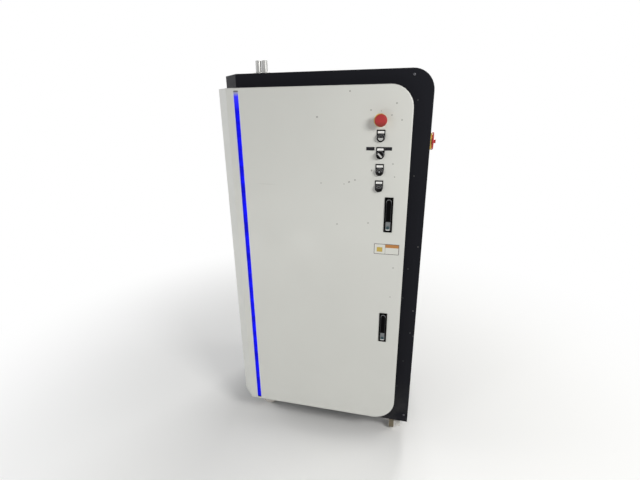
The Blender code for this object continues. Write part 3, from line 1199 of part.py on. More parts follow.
def caster(name, side, end, turn_deg, brake_side):
    """Fork folded from one sheet, with the axle through it, a nylon wheel and a pressed side brake.

    Made with the wheel trailing towards +Y, then turned about the swivel's axis.
    """
    x, y = caster_place(side, end)
    swivel = joint_axis("caster_%s_swivel_axis" % name, (x, y, FORK_TOP))
    outer = FORK_HALF + FORK_SHEET
    bottom = WHEEL_RADIUS - 0.011
    channel = [(-outer, bottom), (-FORK_HALF, bottom), (-FORK_HALF, FORK_TOP - FORK_SHEET),
               (FORK_HALF, FORK_TOP - FORK_SHEET), (FORK_HALF, bottom), (outer, bottom),
               (outer, FORK_TOP), (-outer, FORK_TOP)]
    bm = bmesh.new()
    add_prism(bm, channel, "y", -0.040, 0.060)
    fork = finish("caster_%s_fork" % name, turned_about(bm, turn_deg, x, y), ZINC)
    profile = bmesh.new()
    axle = (CASTER_TRAIL, WHEEL_RADIUS)
    side_view = [(-RACEWAY_RADIUS, FORK_TOP + 0.001), (-RACEWAY_RADIUS, FORK_TOP - 0.012)]
    side_view += arc(axle, 0.010, 215, 350, 5)
    side_view += [(RACEWAY_RADIUS + 0.010, FORK_TOP - 0.016), (RACEWAY_RADIUS, FORK_TOP + 0.001)]
    add_prism(profile, side_view, "x", -0.03, 0.03)
    combine(fork, "INTERSECT", guide(name + "_fork_profile", turned_about(profile, turn_deg, x, y)))
    facing = brake_side or 1
    nut, crown, seat = CAP_NUT_RADIUS, -outer - CAP_NUT_LENGTH, -outer + 0.001
    axle_end = outer + (BRAKE_HUB_WIDTH if brake_side else 0) + 0.003
    shaft = bmesh.new()
    add_turned(shaft, [(radius, facing * along) for radius, along in
                       ((0, crown), (nut * 0.6, crown + 0.001), (nut, crown + 0.005), (nut, seat),
                        (AXLE_RADIUS, seat), (AXLE_RADIUS, axle_end), (0, axle_end))], "x", (0, *axle), 12)
    fuse(fork, name + "_axle", turned_about(shaft, turn_deg, x, y))
    kingpin = bmesh.new()
    add_cylinder(kingpin, KINGPIN_RADIUS, "z", (x, y, 0), FORK_TOP - 0.001,
                 CASTER_TOP - CASTER_PLATE_THICKNESS - 0.001 - RUN, 16)
    fuse(fork, name + "_kingpin", kingpin)
    hang(fork, swivel)

    half, hub = WHEEL_WIDTH / 2, HUB_WIDTH / 2
    bore = AXLE_RADIUS + RUN
    side_profile = [(bore, hub), (0.010, hub), (0.012, half - 0.005), (WHEEL_RADIUS - 0.008, half),
                    (WHEEL_RADIUS - 0.0015, half), (WHEEL_RADIUS, half - 0.0035)]
    wheel_profile = side_profile + [(radius, -along) for radius, along in reversed(side_profile)]
    bm = bmesh.new()
    add_turned(bm, wheel_profile, "x", (0, *axle), 24)
    wheel = finish("caster_%s_wheel" % name, turned_about(bm, turn_deg, x, y), NYLON)
    turn = math.radians(turn_deg)
    axle_place = (x - CASTER_TRAIL * math.sin(turn), y + CASTER_TRAIL * math.cos(turn), WHEEL_RADIUS)
    axle_axis = joint_axis("caster_%s_axle_axis" % name, axle_place, swivel)
    hang(wheel, axle_axis)
    if not brake_side:
        return
    inner = outer + TOUCH
    bm = bmesh.new()
    hub, reach = BRAKE_HUB_RADIUS, BRAKE_REACH
    near, far = facing * inner, facing * (inner + BRAKE_HUB_WIDTH)
    add_turned(bm, [(AXLE_RADIUS + RUN, near), (hub, near), (hub, far), (AXLE_RADIUS + RUN, far)],
               "x", (0, *axle), 12)
    brake = finish("caster_%s_brake" % name, turned_about(bm, turn_deg, x, y), ZINC)
    pedal = bmesh.new()
    bend = reach * 0.45
    under = hub - BRAKE_SHEET
    strip = [(0.003, under), (bend, under), (reach - BRAKE_SHEET, -hub), (reach, -hub + BRAKE_SHEET * 0.8),
             (bend + BRAKE_SHEET / 2, hub), (0.003, hub)]
    add_prism(pedal, [(axle[0] + a, axle[1] + b) for a, b in strip], "x", facing * (inner + 0.0005),
              facing * (inner + BRAKE_WIDTH))
    fuse(brake, name + "_brake_pedal", turned_about(pedal, turn_deg, x, y))
    hang(brake, joint_axis("caster_%s_brake_axis" % name, axle_place, swivel))


# Equipment inside

def mounting_plate():
    """Galvanised plate with folded edges on the posts, with its two hat-section rails."""
    bm = bmesh.new()
    left, right = INNER_LEFT + PLATE_SIDE_MARGIN, INNER_RIGHT - PLATE_SIDE_MARGIN
    lip, back = PLATE_FRONT - 0.012, PLATE_FRONT + PLATE_SHEET
    section = [(left, PLATE_FRONT), (right, PLATE_FRONT), (right, lip), (right + PLATE_SHEET, lip),
               (right + PLATE_SHEET, back), (left - PLATE_SHEET, back), (left - PLATE_SHEET, lip), (left, lip)]
    add_prism(bm, section, "z", PLATE_BOTTOM, PLATE_TOP)
    plate = finish("mounting_plate", bm, ZINC)
    fuse(plate, "rails", din_rails())


DUCT_LEFT = INNER_LEFT + PLATE_SIDE_MARGIN + 0.014
DUCT_RIGHT = INNER_RIGHT - PLATE_SIDE_MARGIN - 0.014
ON_PLATE = PLATE_FRONT - TOUCH
ROW_GAP = 0.012
RAIL_ROW = 0.140
PLATE_SPARE = 0.048       # bare plate above the top duct
DRIVE_HEIGHT = (PLATE_TOP - PLATE_SPARE - PLATE_BOTTOM - 5 * DUCT_WIDTH - 9 * ROW_GAP - 2 * RAIL_ROW) / 2
DUCT_ROWS = [PLATE_BOTTOM + ROW_GAP]
DUCT_ROWS.append(DUCT_ROWS[0] + DUCT_WIDTH + 2 * ROW_GAP + DRIVE_HEIGHT)
DUCT_ROWS.append(DUCT_ROWS[1] + DUCT_WIDTH + 2 * ROW_GAP + DRIVE_HEIGHT)
DUCT_ROWS.append(DUCT_ROWS[2] + DUCT_WIDTH + 2 * ROW_GAP + RAIL_ROW)
DUCT_ROWS.append(DUCT_ROWS[3] + DUCT_WIDTH + 2 * ROW_GAP + RAIL_ROW)
RAIL_LEVELS = (DUCT_ROWS[2] + DUCT_WIDTH + ROW_GAP + RAIL_ROW / 2,
               DUCT_ROWS[3] + DUCT_WIDTH + ROW_GAP + RAIL_ROW / 2)
RAIL_FACE = ON_PLATE - RAIL_DEPTH
ROW_LEFT = DUCT_LEFT + DUCT_WIDTH + 0.010
ROW_RIGHT = DUCT_RIGHT - DUCT_WIDTH - 0.010


def wiring_ducts():
    """Open slotted ducts: one between each two rows of devices, joined by one down each side."""
    bm = bmesh.new()
    cutter = bmesh.new()
    front = ON_PLATE - DUCT_DEPTH
    for low in DUCT_ROWS:
        high = low + DUCT_WIDTH
        section = [(ON_PLATE, low), (ON_PLATE, high), (front, high), (front, high - DUCT_WALL),
                   (ON_PLATE - DUCT_WALL, high - DUCT_WALL), (ON_PLATE - DUCT_WALL, low + DUCT_WALL),
                   (front, low + DUCT_WALL), (front, low)]
        add_prism(bm, section, "x", DUCT_LEFT + DUCT_WIDTH - DUCT_WALL / 2,
                  DUCT_RIGHT - DUCT_WIDTH + DUCT_WALL / 2)
        span = DUCT_RIGHT - DUCT_LEFT - 2 * DUCT_WIDTH
        count = int(span / DUCT_SLOT_PITCH)
        for i in range(count):
            x = DUCT_LEFT + DUCT_WIDTH + (i + 0.5) * span / count
            add_box(cutter, (x - DUCT_SLOT / 2, front - OVERCUT, low - OVERCUT),
                    (x + DUCT_SLOT / 2, ON_PLATE - 0.015, high + OVERCUT))
    ducts = finish("wiring_ducts", bm, GREY)
    sides = bmesh.new()
    for left in (DUCT_LEFT, DUCT_RIGHT - DUCT_WIDTH):
        right = left + DUCT_WIDTH
        section = [(left, ON_PLATE), (right, ON_PLATE), (right, front), (right - DUCT_WALL, front),
                   (right - DUCT_WALL, ON_PLATE - DUCT_WALL), (left + DUCT_WALL, ON_PLATE - DUCT_WALL),
                   (left + DUCT_WALL, front), (left, front)]
        add_prism(sides, section, "z", DUCT_ROWS[0], DUCT_ROWS[-1] + DUCT_WIDTH)
    fuse(ducts, "side_ducts", sides)
    pierce(ducts, "duct_slots", cutter)


def din_rails():
    """Two hat-section rails, sunk a little into the plate's face so that they join it."""
    bm = bmesh.new()
    half, wall, foot = RAIL_HEIGHT / 2, RAIL_SHEET, 0.0135
    seat = PLATE_FRONT + wall / 2
    for level in RAIL_LEVELS:
        crown, web = RAIL_FACE + wall, PLATE_FRONT - wall
        section = [(seat, level - foot), (seat, level + foot), (crown, level + foot),
                   (crown, level + half), (RAIL_FACE, level + half), (RAIL_FACE, level + foot - wall),
                   (web, level + foot - wall), (web, level - foot + wall),
                   (RAIL_FACE, level - foot + wall), (RAIL_FACE, level - half), (crown, level - half),
                   (crown, level - foot)]
        add_prism(bm, section, "x", ROW_LEFT, ROW_RIGHT)
    return bm


def add_module(bm, left, width, level, height, depth, nose_height, nose_depth):
    """Rail-mounted device: a body that steps forward to a narrower nose."""
    back = RAIL_FACE - TOUCH
    half, nose = height / 2, nose_height / 2
    step = back - depth
    front = step - nose_depth
    section = [(back, level - half), (back, level + half), (step, level + half), (step, level + nose),
               (front, level + nose), (front, level - nose), (step, level - nose), (step, level - half)]
    add_prism(bm, section, "x", left, left + width)


BREAKER_LEFT = ROW_LEFT + 0.010
BREAKER_WIDTH = 0.054
BREAKER_DEPTH = 0.044
BREAKER_NOSE = 0.020


def main_breaker():
    """Three-pole breaker on the upper rail; one bar joins its toggles."""
    level = RAIL_LEVELS[1]
    bm = bmesh.new()
    add_module(bm, BREAKER_LEFT, BREAKER_WIDTH, level, 0.086, BREAKER_DEPTH, 0.045, BREAKER_NOSE)
    breaker = finish("main_breaker", bm, PALE)
    nose = RAIL_FACE - TOUCH - BREAKER_DEPTH - BREAKER_NOSE
    axis_y = nose + 0.006
    slots = bmesh.new()
    pole = BREAKER_WIDTH / 3
    for i in range(3):
        x = BREAKER_LEFT + (i + 0.5) * pole
        add_box(slots, (x - 0.0042, nose - OVERCUT, level - 0.0135),
                (x + 0.0042, nose + 0.014, level + 0.0135))
    pierce(breaker, "toggle_slots", slots)
    pin = bmesh.new()
    add_cylinder(pin, 0.0015, "x", (0, axis_y, level), BREAKER_LEFT + 0.002,
                 BREAKER_LEFT + BREAKER_WIDTH - 0.002, 10)
    fuse(breaker, "toggle_pin", pin)
    bm = bmesh.new()
    bar_out = nose - 0.010
    drop = -0.0085
    add_box(bm, (BREAKER_LEFT + 0.004, bar_out, level + drop - 0.0028),
            (BREAKER_LEFT + BREAKER_WIDTH - 0.004, bar_out + 0.005, level + drop + 0.0028))
    toggle = finish("main_breaker_toggle", bm, BLACK)
    for i in range(3):
        x = BREAKER_LEFT + (i + 0.5) * pole
        arm = bmesh.new()
        hub = arc((axis_y, level), 0.0042, -50, 130, 8)
        tip = [(bar_out + 0.002, level + drop + 0.0018), (bar_out + 0.002, level + drop - 0.0018)]
        add_prism(arm, hub + tip, "x", x - 0.0038, x + 0.0038)
        fuse(toggle, "toggle_arm", arm)
    bore = bmesh.new()
    add_cylinder(bore, 0.0015 + RUN, "x", (0, axis_y, level), BREAKER_LEFT,
                 BREAKER_LEFT + BREAKER_WIDTH, 10)
    pierce(toggle, "toggle_bore", bore)
    hang(toggle, joint_axis("main_breaker_axis", (BREAKER_LEFT + BREAKER_WIDTH / 2, axis_y, level)))


def contactors():
    """Three contactors ganged side by side, with terminal recesses above and below."""
    level = RAIL_LEVELS[1]
    width, count = 0.045, 3
    left = BREAKER_LEFT + BREAKER_WIDTH + 0.030
    front = RAIL_FACE - TOUCH - 0.062
    bm = bmesh.new()
    add_module(bm, left, width * count, level, 0.078, 0.062, 0.046, 0.018)
    piece = finish("contactors", bm, BLACK)
    cutter = bmesh.new()
    for i in range(count):
        x = left + i * width
        if i:
            add_box(cutter, (x - 0.001, front - 0.018 - OVERCUT, level - 0.041),
                    (x + 0.001, front + 0.004, level + 0.041))
        for side in (-1, 1):
            for pole in range(3):
                middle = x + (pole + 0.5) * width / 3
                z = level + side * 0.033
                add_box(cutter, (middle - 0.0045, front - OVERCUT, z - 0.004),
                        (middle + 0.0045, front + 0.010, z + 0.004))
    pierce(piece, "contactor_terminals", cutter)


def power_supply():
    """Ventilated metal-cased supply on the upper rail."""
    level = RAIL_LEVELS[1]
    width, height, depth = 0.110, 0.100, 0.110
    left = ROW_RIGHT - width - 0.020
    back = RAIL_FACE - TOUCH
    bm = bmesh.new()
    add_box(bm, (left, back - depth, level - height / 2), (left + width, back, level + height / 2))
    supply = finish("power_supply", bm, STEEL)
    soften(supply, 0.002, 1)
    cutter = bmesh.new()
    for i in range(8):
        x = left + 0.015 + i * (width - 0.030) / 7
        add_box(cutter, (x - 0.002, back - depth - OVERCUT, level - 0.010),
                (x + 0.002, back - depth + 0.003, level + 0.034))
    pierce(supply, "supply_vents", cutter)


def servo_drive():
    """Multi-axis servo drive: four book-shaped axis modules side by side on one back plate."""
    width, depth, count = 0.060, 0.160, 4
    pitch = width + 0.004
    left = ROW_LEFT + 0.020
    low = DUCT_ROWS[0] + DUCT_WIDTH + ROW_GAP
    front = ON_PLATE - depth
    bm = bmesh.new()
    add_box(bm, (left - 0.010, ON_PLATE - 0.020, low),
            (left + count * pitch + 0.006, ON_PLATE, low + DRIVE_HEIGHT))
    drive = finish("servo_drive", bm, PALE)
    modules, cutter = bmesh.new(), bmesh.new()
    for i in range(count):
        x = left + i * pitch
        add_box(modules, (x, front, low + 0.006),
                (x + width, ON_PLATE - 0.019, low + DRIVE_HEIGHT - 0.006))
        for start, end in ((0.10, 0.375), (0.42, 0.455), (0.49, 0.525), (0.56, 0.595), (0.65, 0.825)):
            add_box(cutter, (x + 0.008, front - OVERCUT, low + DRIVE_HEIGHT * start),
                    (x + width - 0.008, front + 0.004, low + DRIVE_HEIGHT * end))
    fuse(drive, "axis_modules", modules)
    pierce(drive, "drive_recesses", cutter)


def motion_controller():
    """Flat controller box in the second row, with a ribbed front and its plug sockets."""
    low = DUCT_ROWS[1] + DUCT_WIDTH + ROW_GAP
    left, width, depth = ROW_LEFT + 0.030, 0.260, 0.070
    height = DRIVE_HEIGHT - 0.010
    front = ON_PLATE - depth
    bm = bmesh.new()
    add_box(bm, (left, front, low), (left + width, ON_PLATE, low + height))
    box = finish("motion_controller", bm, GREY)
    soften(box, 0.002, 1)
    cutter = bmesh.new()
    for i in range(6):
        x = left + 0.020 + i * 0.038
        for z in (low + 0.012, low + height - 0.028):
            add_box(cutter, (x, front - OVERCUT, z), (x + 0.024, front + 0.006, z + 0.016))
    pierce(box, "controller_sockets", cutter)


def terminal_strip():
    """Row of clamp terminals on the lower rail, with a wire groove between neighbours."""
    level = RAIL_LEVELS[0]
    count, pitch = 24, 0.012
    left = ROW_LEFT + 0.060
    bm = bmesh.new()
    add_module(bm, left, count * pitch, level, 0.060, 0.026, 0.030, 0.012)
    strip = finish("terminal_strip", bm, GREEN)
    cutter = bmesh.new()
    front = RAIL_FACE - TOUCH - 0.038
    for i in range(1, count):
        x = left + i * pitch
        add_box(cutter, (x - 0.0008, front - OVERCUT, level - 0.040),
                (x + 0.0008, front + 0.010, level + 0.040))
    pierce(strip, "terminal_grooves", cutter)


SHELF_TOP = FLOOR_LEVEL + FLOOR_SHEET + SHELF_HEIGHT
SOURCE_FRONT = HOUSING_FRONT + 0.040


def laser_shelf(base):
    """Sheet folded down at both sides, welded to the floor; it carries the laser source."""
    low = FLOOR_LEVEL + FLOOR_SHEET - 0.001
    half = SOURCE_WIDTH / 2 + 0.020
    wall, foot = 0.002, 0.020
    left, right = VENT_X - half, VENT_X + half
    section = [(left - foot, low), (left, low), (left, SHELF_TOP - wall), (right, SHELF_TOP - wall),
               (right, low), (right + foot, low), (right + foot, low + wall), (right + wall, low + wall),
               (right + wall, SHELF_TOP), (left - wall, SHELF_TOP), (left - wall, low + wall),
               (left - foot, low + wall)]
    shelf = bmesh.new()
    add_prism(shelf, section, "y", SOURCE_FRONT, SOURCE_FRONT + SOURCE_DEPTH + 0.010)
    fuse(base, "laser_shelf", shelf)


def laser_source():
    """Rack-width laser source: a steel box with a proud front plate, two bow handles and air slots."""
    low = SHELF_TOP + TOUCH
    half = SOURCE_WIDTH / 2
    front = SOURCE_FRONT + 0.030
    bm = bmesh.new()
    add_box(bm, (VENT_X - half + 0.020, front, low + 0.002),
            (VENT_X + half - 0.020, front + SOURCE_DEPTH - 0.030, low + SOURCE_HEIGHT - 0.002))
    source = finish("laser_source", bm, PALE)
    panel = bmesh.new()
    add_box(panel, (VENT_X - half, front - 0.004, low), (VENT_X + half, front + 0.001, low + SOURCE_HEIGHT))
    fuse(source, "source_panel", panel)
    cutter = bmesh.new()
    for side in (-1, 1):
        for i in range(9):
            x = VENT_X + side * 0.130 + (i - 4) * 0.014
            add_box(cutter, (x - 0.003, front - 0.004 - OVERCUT, low + 0.030),
                    (x + 0.003, front + 0.006, low + 0.110))
    pierce(source, "source_vents", cutter)
    for side in (-1, 1):
        x = VENT_X + side * (half - 0.012)
        out, grip = 0.026, 0.005
        bow = bmesh.new()
        root, tip = front - 0.0035, front - 0.0035 - out
        bottom, top = low + 0.060, low + 0.180
        section = [(root, bottom), (tip, bottom), (tip, top), (root, top), (root, top - grip),
                   (tip + grip, top - grip), (tip + grip, bottom + grip), (root, bottom + grip)]
        add_prism(bow, section, "x", x - grip, x + grip)
        fuse(source, "source_handle", bow)


def build():
    clear_scene()
    front_frame()
    roof_and_right_panel()
    left_panel()
    back_panel()
    vent_grille()
    fan()
    roof_sockets()
    base_frame()
    gland_plate()

    door_axis = joint_axis("door_axis", (HINGE_X, HINGE_Y, DOOR_BOTTOM))
    for piece in (door_panel(), door_stiffener(), door_gasket(), *light_strip()):
        hang(piece, door_axis)
    for name, level in HINGE_LEVELS.items():
        hinge(name, level, door_axis)
    emergency_stop(door_axis)
    for name, index in (("upper_button", 0), ("middle_button", 2), ("lower_button", 3)):
        button_body(name + "_body", button_height(index), BLACK, door_axis)
        button_cap(name + "_cap", button_height(index), GREY, door_axis)
    key_switch(door_axis)
    for name, middle in HANDLE_LEVELS.items():
        handle(name, middle, door_axis)

    main_switch()
    for name, (side, end, turn_deg, brake_side) in CASTERS.items():
        caster(name, side, end, turn_deg, brake_side)

    mounting_plate()
    wiring_ducts()
    main_breaker()
    contactors()
    power_supply()
    servo_drive()
    motion_controller()
    terminal_strip()
    laser_source()


build()
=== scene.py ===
"""Looks of the control cabinet: paint, plastics, metals, fasteners and the room it is shown in.

Metres, +Z up, the front faces -Y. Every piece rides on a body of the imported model.
"""

import json
import math

import bpy
from mathutils import Matrix, Vector

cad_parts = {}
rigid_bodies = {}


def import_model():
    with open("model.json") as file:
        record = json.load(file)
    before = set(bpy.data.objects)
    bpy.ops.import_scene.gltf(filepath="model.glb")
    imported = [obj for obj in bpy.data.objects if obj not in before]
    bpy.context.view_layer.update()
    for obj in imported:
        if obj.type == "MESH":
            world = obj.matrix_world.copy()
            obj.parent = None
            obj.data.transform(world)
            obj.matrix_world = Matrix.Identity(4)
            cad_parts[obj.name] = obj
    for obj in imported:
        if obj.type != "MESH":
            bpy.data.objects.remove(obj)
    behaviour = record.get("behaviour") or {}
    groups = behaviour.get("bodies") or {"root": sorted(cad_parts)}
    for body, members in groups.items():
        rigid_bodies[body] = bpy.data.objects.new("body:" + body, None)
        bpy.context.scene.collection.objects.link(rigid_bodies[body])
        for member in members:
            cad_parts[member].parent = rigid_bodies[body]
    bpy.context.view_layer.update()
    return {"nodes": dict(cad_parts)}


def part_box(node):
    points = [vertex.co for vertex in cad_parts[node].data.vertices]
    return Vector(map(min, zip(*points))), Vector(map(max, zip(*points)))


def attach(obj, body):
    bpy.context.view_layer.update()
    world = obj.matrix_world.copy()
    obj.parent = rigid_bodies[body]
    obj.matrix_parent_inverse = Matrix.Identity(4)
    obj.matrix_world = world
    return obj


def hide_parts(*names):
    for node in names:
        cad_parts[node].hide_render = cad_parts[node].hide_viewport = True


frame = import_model()


# ---- The room
# A plain pale floor, which passes into a white surround a few metres off. Two soft lamps hang high
# in front, the right one stronger, a third stands low, and wide ones lift the sides and the back.

FLOOR_COLOUR = (0.88, 0.88, 0.87, 1.0)
FLOOR_SIZE = 60.0
FLOOR_FADES_FROM, FLOOR_FADES_TO = 0.9, 2.5
SKY_LEVEL = 0.25
WHITE = (1.0, 1.0, 1.0, 1.0)
# Each lamp: its place, the point that it lights, its width and height, its power and its tint.
LAMPS = {
    "lamp_left": ((-2.6, -3.2, 2.3), (0.0, -0.3, 1.0), (0.7, 0.5), 12, (0.96, 0.98, 1.0)),
    "lamp_right": ((1.6, -1.6, 2.0), (0.2, -0.3, 1.0), (0.7, 0.5), 30, (1.0, 0.99, 0.97)),
    "lamp_low": ((-0.7, -2.0, 0.4), (0.0, -0.3, 0.4), (1.2, 0.5), 6.5, (1.0, 0.99, 0.96)),
    "lamp_left_side": ((-3.0, -0.5, 1.7), (-0.4, 0.0, 0.9), (1.6, 1.6), 26, (0.97, 0.98, 1.0)),
    "lamp_right_side": ((3.0, 0.6, 1.8), (0.4, 0.1, 0.9), (1.6, 1.6), 30, (1.0, 1.0, 0.98)),
    "lamp_behind": ((0.6, 3.2, 3.0), (0.0, 0.3, 0.9), (1.6, 1.2), 80, (1.0, 1.0, 1.0)),
}


def deselect():
    """Nothing stays selected, so that the next operator acts on its own piece only."""
    for other in bpy.context.scene.objects:
        other.select_set(False)


def feed(tree, made, inputs):
    """Gives a shader node its inputs, each a value or another node's socket to link from."""
    for key, value in inputs.items():
        if isinstance(value, bpy.types.NodeSocket):
            tree.links.new(value, made.inputs[key])
        else:
            made.inputs[key].default_value = value
    return made


def node(tree, kind, inputs=None, **settings):
    """Adds a shader node."""
    made = tree.nodes.new("ShaderNode" + kind)
    for name, value in settings.items():
        setattr(made, name, value)
    return feed(tree, made, inputs or {})


def calc(tree, kind, *values, **settings):
    """The result of a Math node."""
    return node(tree, "Math", dict(enumerate(values)), operation=kind, **settings).outputs[0]


def ramp(tree, value, low, high, to_low=0.0, to_high=1.0, **settings):
    """A value brought from one range to another and held within it."""
    return node(tree, "MapRange", {"Value": value, "From Min": low, "From Max": high,
                                   "To Min": to_low, "To Max": to_high}, **settings).outputs[0]


def new_look(name):
    """A material: itself, its tree and its Principled shader."""
    material = bpy.data.materials.new(name)
    material.use_nodes = True
    return material, material.node_tree, material.node_tree.nodes["Principled BSDF"]


def seen_directly(tree):
    """1 for what the camera, a mirror or a clear plastic shows, and 0 for the light on things."""
    path = node(tree, "LightPath")
    mirrored = calc(tree, "MAXIMUM", path.outputs["Is Camera Ray"], path.outputs["Is Glossy Ray"])
    return calc(tree, "MAXIMUM", mirrored, path.outputs["Is Transmission Ray"])


def hang_lamp(name, place, aim, size, watts, tint):
    """A soft lamp at a place, turned towards the point that it lights."""
    deselect()
    bpy.ops.object.light_add(type="AREA", location=place)
    lamp = bpy.context.active_object
    lamp.name = name
    lamp.data.shape = "RECTANGLE"
    lamp.data.size, lamp.data.size_y = size
    lamp.data.energy = watts
    lamp.data.color = tint
    lamp.visible_camera = False
    lamp.rotation_euler = (Vector(aim) - Vector(place)).to_track_quat("-Z", "Y").to_euler()


deselect()
bpy.ops.mesh.primitive_grid_add(x_subdivisions=4, y_subdivisions=4, size=FLOOR_SIZE, location=(0, 0, 0))
floor = bpy.context.active_object
floor.name = "floor"
floor_paint, tree, shader = new_look("floor_paint")
feed(tree, shader, {"Base Color": FLOOR_COLOUR, "Roughness": 0.75, "Specular IOR Level": 0.2})
away = node(tree, "VectorMath", {0: node(tree, "TexCoord").outputs["Object"]}, operation="LENGTH")
fade = ramp(tree, away.outputs["Value"], FLOOR_FADES_FROM, FLOOR_FADES_TO, interpolation_type="SMOOTHSTEP")
share = calc(tree, "MULTIPLY", fade, seen_directly(tree))
white = node(tree, "Emission", {"Color": WHITE, "Strength": 1.0})
passing = node(tree, "MixShader", {0: share, 1: shader.outputs[0], 2: white.outputs[0]})
tree.links.new(passing.outputs[0], tree.nodes["Material Output"].inputs["Surface"])
floor.data.materials.append(floor_paint)

sky = bpy.data.worlds.new("surround")
bpy.context.scene.world = sky
sky.use_nodes = True
tree = sky.node_tree
tree.nodes.clear()
level = ramp(tree, seen_directly(tree), 0.0, 1.0, SKY_LEVEL, 1.0)
surround = node(tree, "Background", {"Color": WHITE, "Strength": level})
node(tree, "OutputWorld", {"Surface": surround.outputs[0]})

for name, lamp in LAMPS.items():
    hang_lamp(name, *lamp)

DOOR_LOW, DOOR_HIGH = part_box("door_panel")
CAMERA_PLACE = Vector((DOOR_HIGH.x - 0.00632, DOOR_LOW.y - 1.38063, DOOR_LOW.z + 1.34607))
CAMERA_RIGHT = Vector((0.97372141, 0.22747762, -0.01097977))
CAMERA_UP = Vector((-0.06420889, 0.32046387, 0.94508207))
CAMERA_AHEAD = Vector((-0.21850364, 0.91954165, -0.32664862))
FOCAL_PIXELS, FRAME_PIXELS = 370.79, 640
SENSOR_WIDTH = 36.0

deselect()
bpy.ops.object.camera_add(location=CAMERA_PLACE)
camera = bpy.context.active_object
camera.name = "camera"
camera.data.sensor_width = SENSOR_WIDTH
camera.data.lens = FOCAL_PIXELS / FRAME_PIXELS * SENSOR_WIDTH
camera.data.clip_start = 0.05
camera.rotation_euler = Matrix((CAMERA_RIGHT, CAMERA_UP, -CAMERA_AHEAD)).transposed().to_euler()
bpy.context.scene.camera = camera
bpy.context.scene.view_settings.view_transform = "Standard"


# ---- Housing
# Folded and spot welded sheet steel, 2 mm thick, with a fine-grained dark grey powder coat.
# The coat is nicked along its edges down to pale primer, and dust lies on what faces upwards.

DARK_COAT = (0.0085, 0.0088, 0.0118, 1.0)
PRIMER = (0.30, 0.29, 0.27, 1.0)
DUST = (0.19, 0.18, 0.165, 1.0)
NICK = (0.24, 0.24, 0.23, 1.0)
CHIP_SIZE = 0.05
EDGE_WEAR_AND_SHEEN_REACH = 0.0011
FULL_TURN, HALF_TURN, QUARTER_TURN = 2 * math.pi, math.pi, math.pi / 2
COVER_SCREW = (0.0048, 0.0028)
SCREW_SIDES = 20
RECESS_LONG, RECESS_WIDE = 1.1, 0.24


def group(name, takes, gives):
    """A shader node group with named sockets: its tree, its input end and its output end."""
    tree = bpy.data.node_groups.new(name, "ShaderNodeTree")
    for socket, value in takes.items():
        kind = "NodeSocketColor" if isinstance(value, tuple) else "NodeSocketFloat"
        tree.interface.new_socket(socket, in_out="INPUT", socket_type=kind).default_value = value
    for socket in gives:
        kind = "NodeSocketColor" if socket == "Colour" else "NodeSocketFloat"
        tree.interface.new_socket(socket, in_out="OUTPUT", socket_type=kind)
    return tree, tree.nodes.new("NodeGroupInput").outputs, tree.nodes.new("NodeGroupOutput").inputs


def effect(tree, name, **inputs):
    """Places a group in a material. Each input goes by its socket's name, with _ for a blank."""
    made = tree.nodes.new("ShaderNodeGroup")
    made.node_tree = bpy.data.node_groups[name]
    return feed(tree, made, {key.replace("_", " "): value for key, value in inputs.items()})


def mixed(tree, factor, first, second):
    """One colour over another by a mask; returns the colour socket."""
    made = tree.nodes.new("ShaderNodeMix")
    made.data_type = "RGBA"
    return feed(tree, made, {0: factor, 6: first, 7: second}).outputs[2]


def noise(tree, where, scale, detail=2.0, roughness=0.5):
    """A noise at a place."""
    return node(tree, "TexNoise", {"Vector": where, "Scale": scale, "Detail": detail, "Roughness": roughness})


def here(tree, system="Object"):
    """The place on the surface, or where it faces, split into X, Y and Z."""
    return node(tree, "SeparateXYZ", {0: node(tree, "TexCoord").outputs[system]}).outputs


# Sprayed coat: a slow drift of tone, a fine orange-peel skin and patches handled smoother.
coat, takes, gives = group("sprayed_coat", {
    "Colour": (0.5, 0.5, 0.5, 1.0), "Drift": 0.05, "Roughness": 0.45, "Grain": 700.0, "Patchiness": 0.08},
    ("Colour", "Roughness", "Height"))
where = node(coat, "TexCoord").outputs["Object"]
tone = ramp(coat, noise(coat, where, 1.6, 3.0).outputs[0], 0.3, 0.7,
            calc(coat, "SUBTRACT", 1.0, takes["Drift"]), calc(coat, "ADD", 1.0, takes["Drift"]))
toned = node(coat, "HueSaturation", {"Color": takes["Colour"], "Value": tone})
coat.links.new(toned.outputs[0], gives["Colour"])
handled = ramp(coat, noise(coat, where, 7.0, 5.0, 0.62).outputs[0], 0.35, 0.65, -1.0, 1.0)
coat.links.new(calc(coat, "MULTIPLY_ADD", handled, takes["Patchiness"], takes["Roughness"]), gives["Roughness"])
coat.links.new(noise(coat, where, takes["Grain"]).outputs[0], gives["Height"])

# Edge wear, which on the handle levers is a painted highlight instead: where the rounded normal parts from the
# flat one, broken up by noise.
edge_wear_and_sheen_group, takes, gives = group("edge_wear_and_sheen", {"Reach": 0.001, "Breaks": 60.0, "Wear": 0.5}, ("Mask",))
rounded = node(edge_wear_and_sheen_group, "Bevel", {"Radius": takes["Reach"]}, samples=4)
straight = node(edge_wear_and_sheen_group, "NewGeometry").outputs["Normal"]
alike = node(edge_wear_and_sheen_group, "VectorMath", {0: rounded.outputs[0], 1: straight}, operation="DOT_PRODUCT")
parted = ramp(edge_wear_and_sheen_group, alike.outputs["Value"], 0.985, 0.90)
breaks = noise(edge_wear_and_sheen_group, node(edge_wear_and_sheen_group, "TexCoord").outputs["Object"], takes["Breaks"], 4.0, 0.65)
past = calc(edge_wear_and_sheen_group, "SUBTRACT", breaks.outputs[0], calc(edge_wear_and_sheen_group, "SUBTRACT", 1.0, takes["Wear"]))
edge_wear_and_sheen_group.links.new(calc(edge_wear_and_sheen_group, "MULTIPLY", parted, ramp(edge_wear_and_sheen_group, past, 0.0, 0.05)), gives["Mask"])

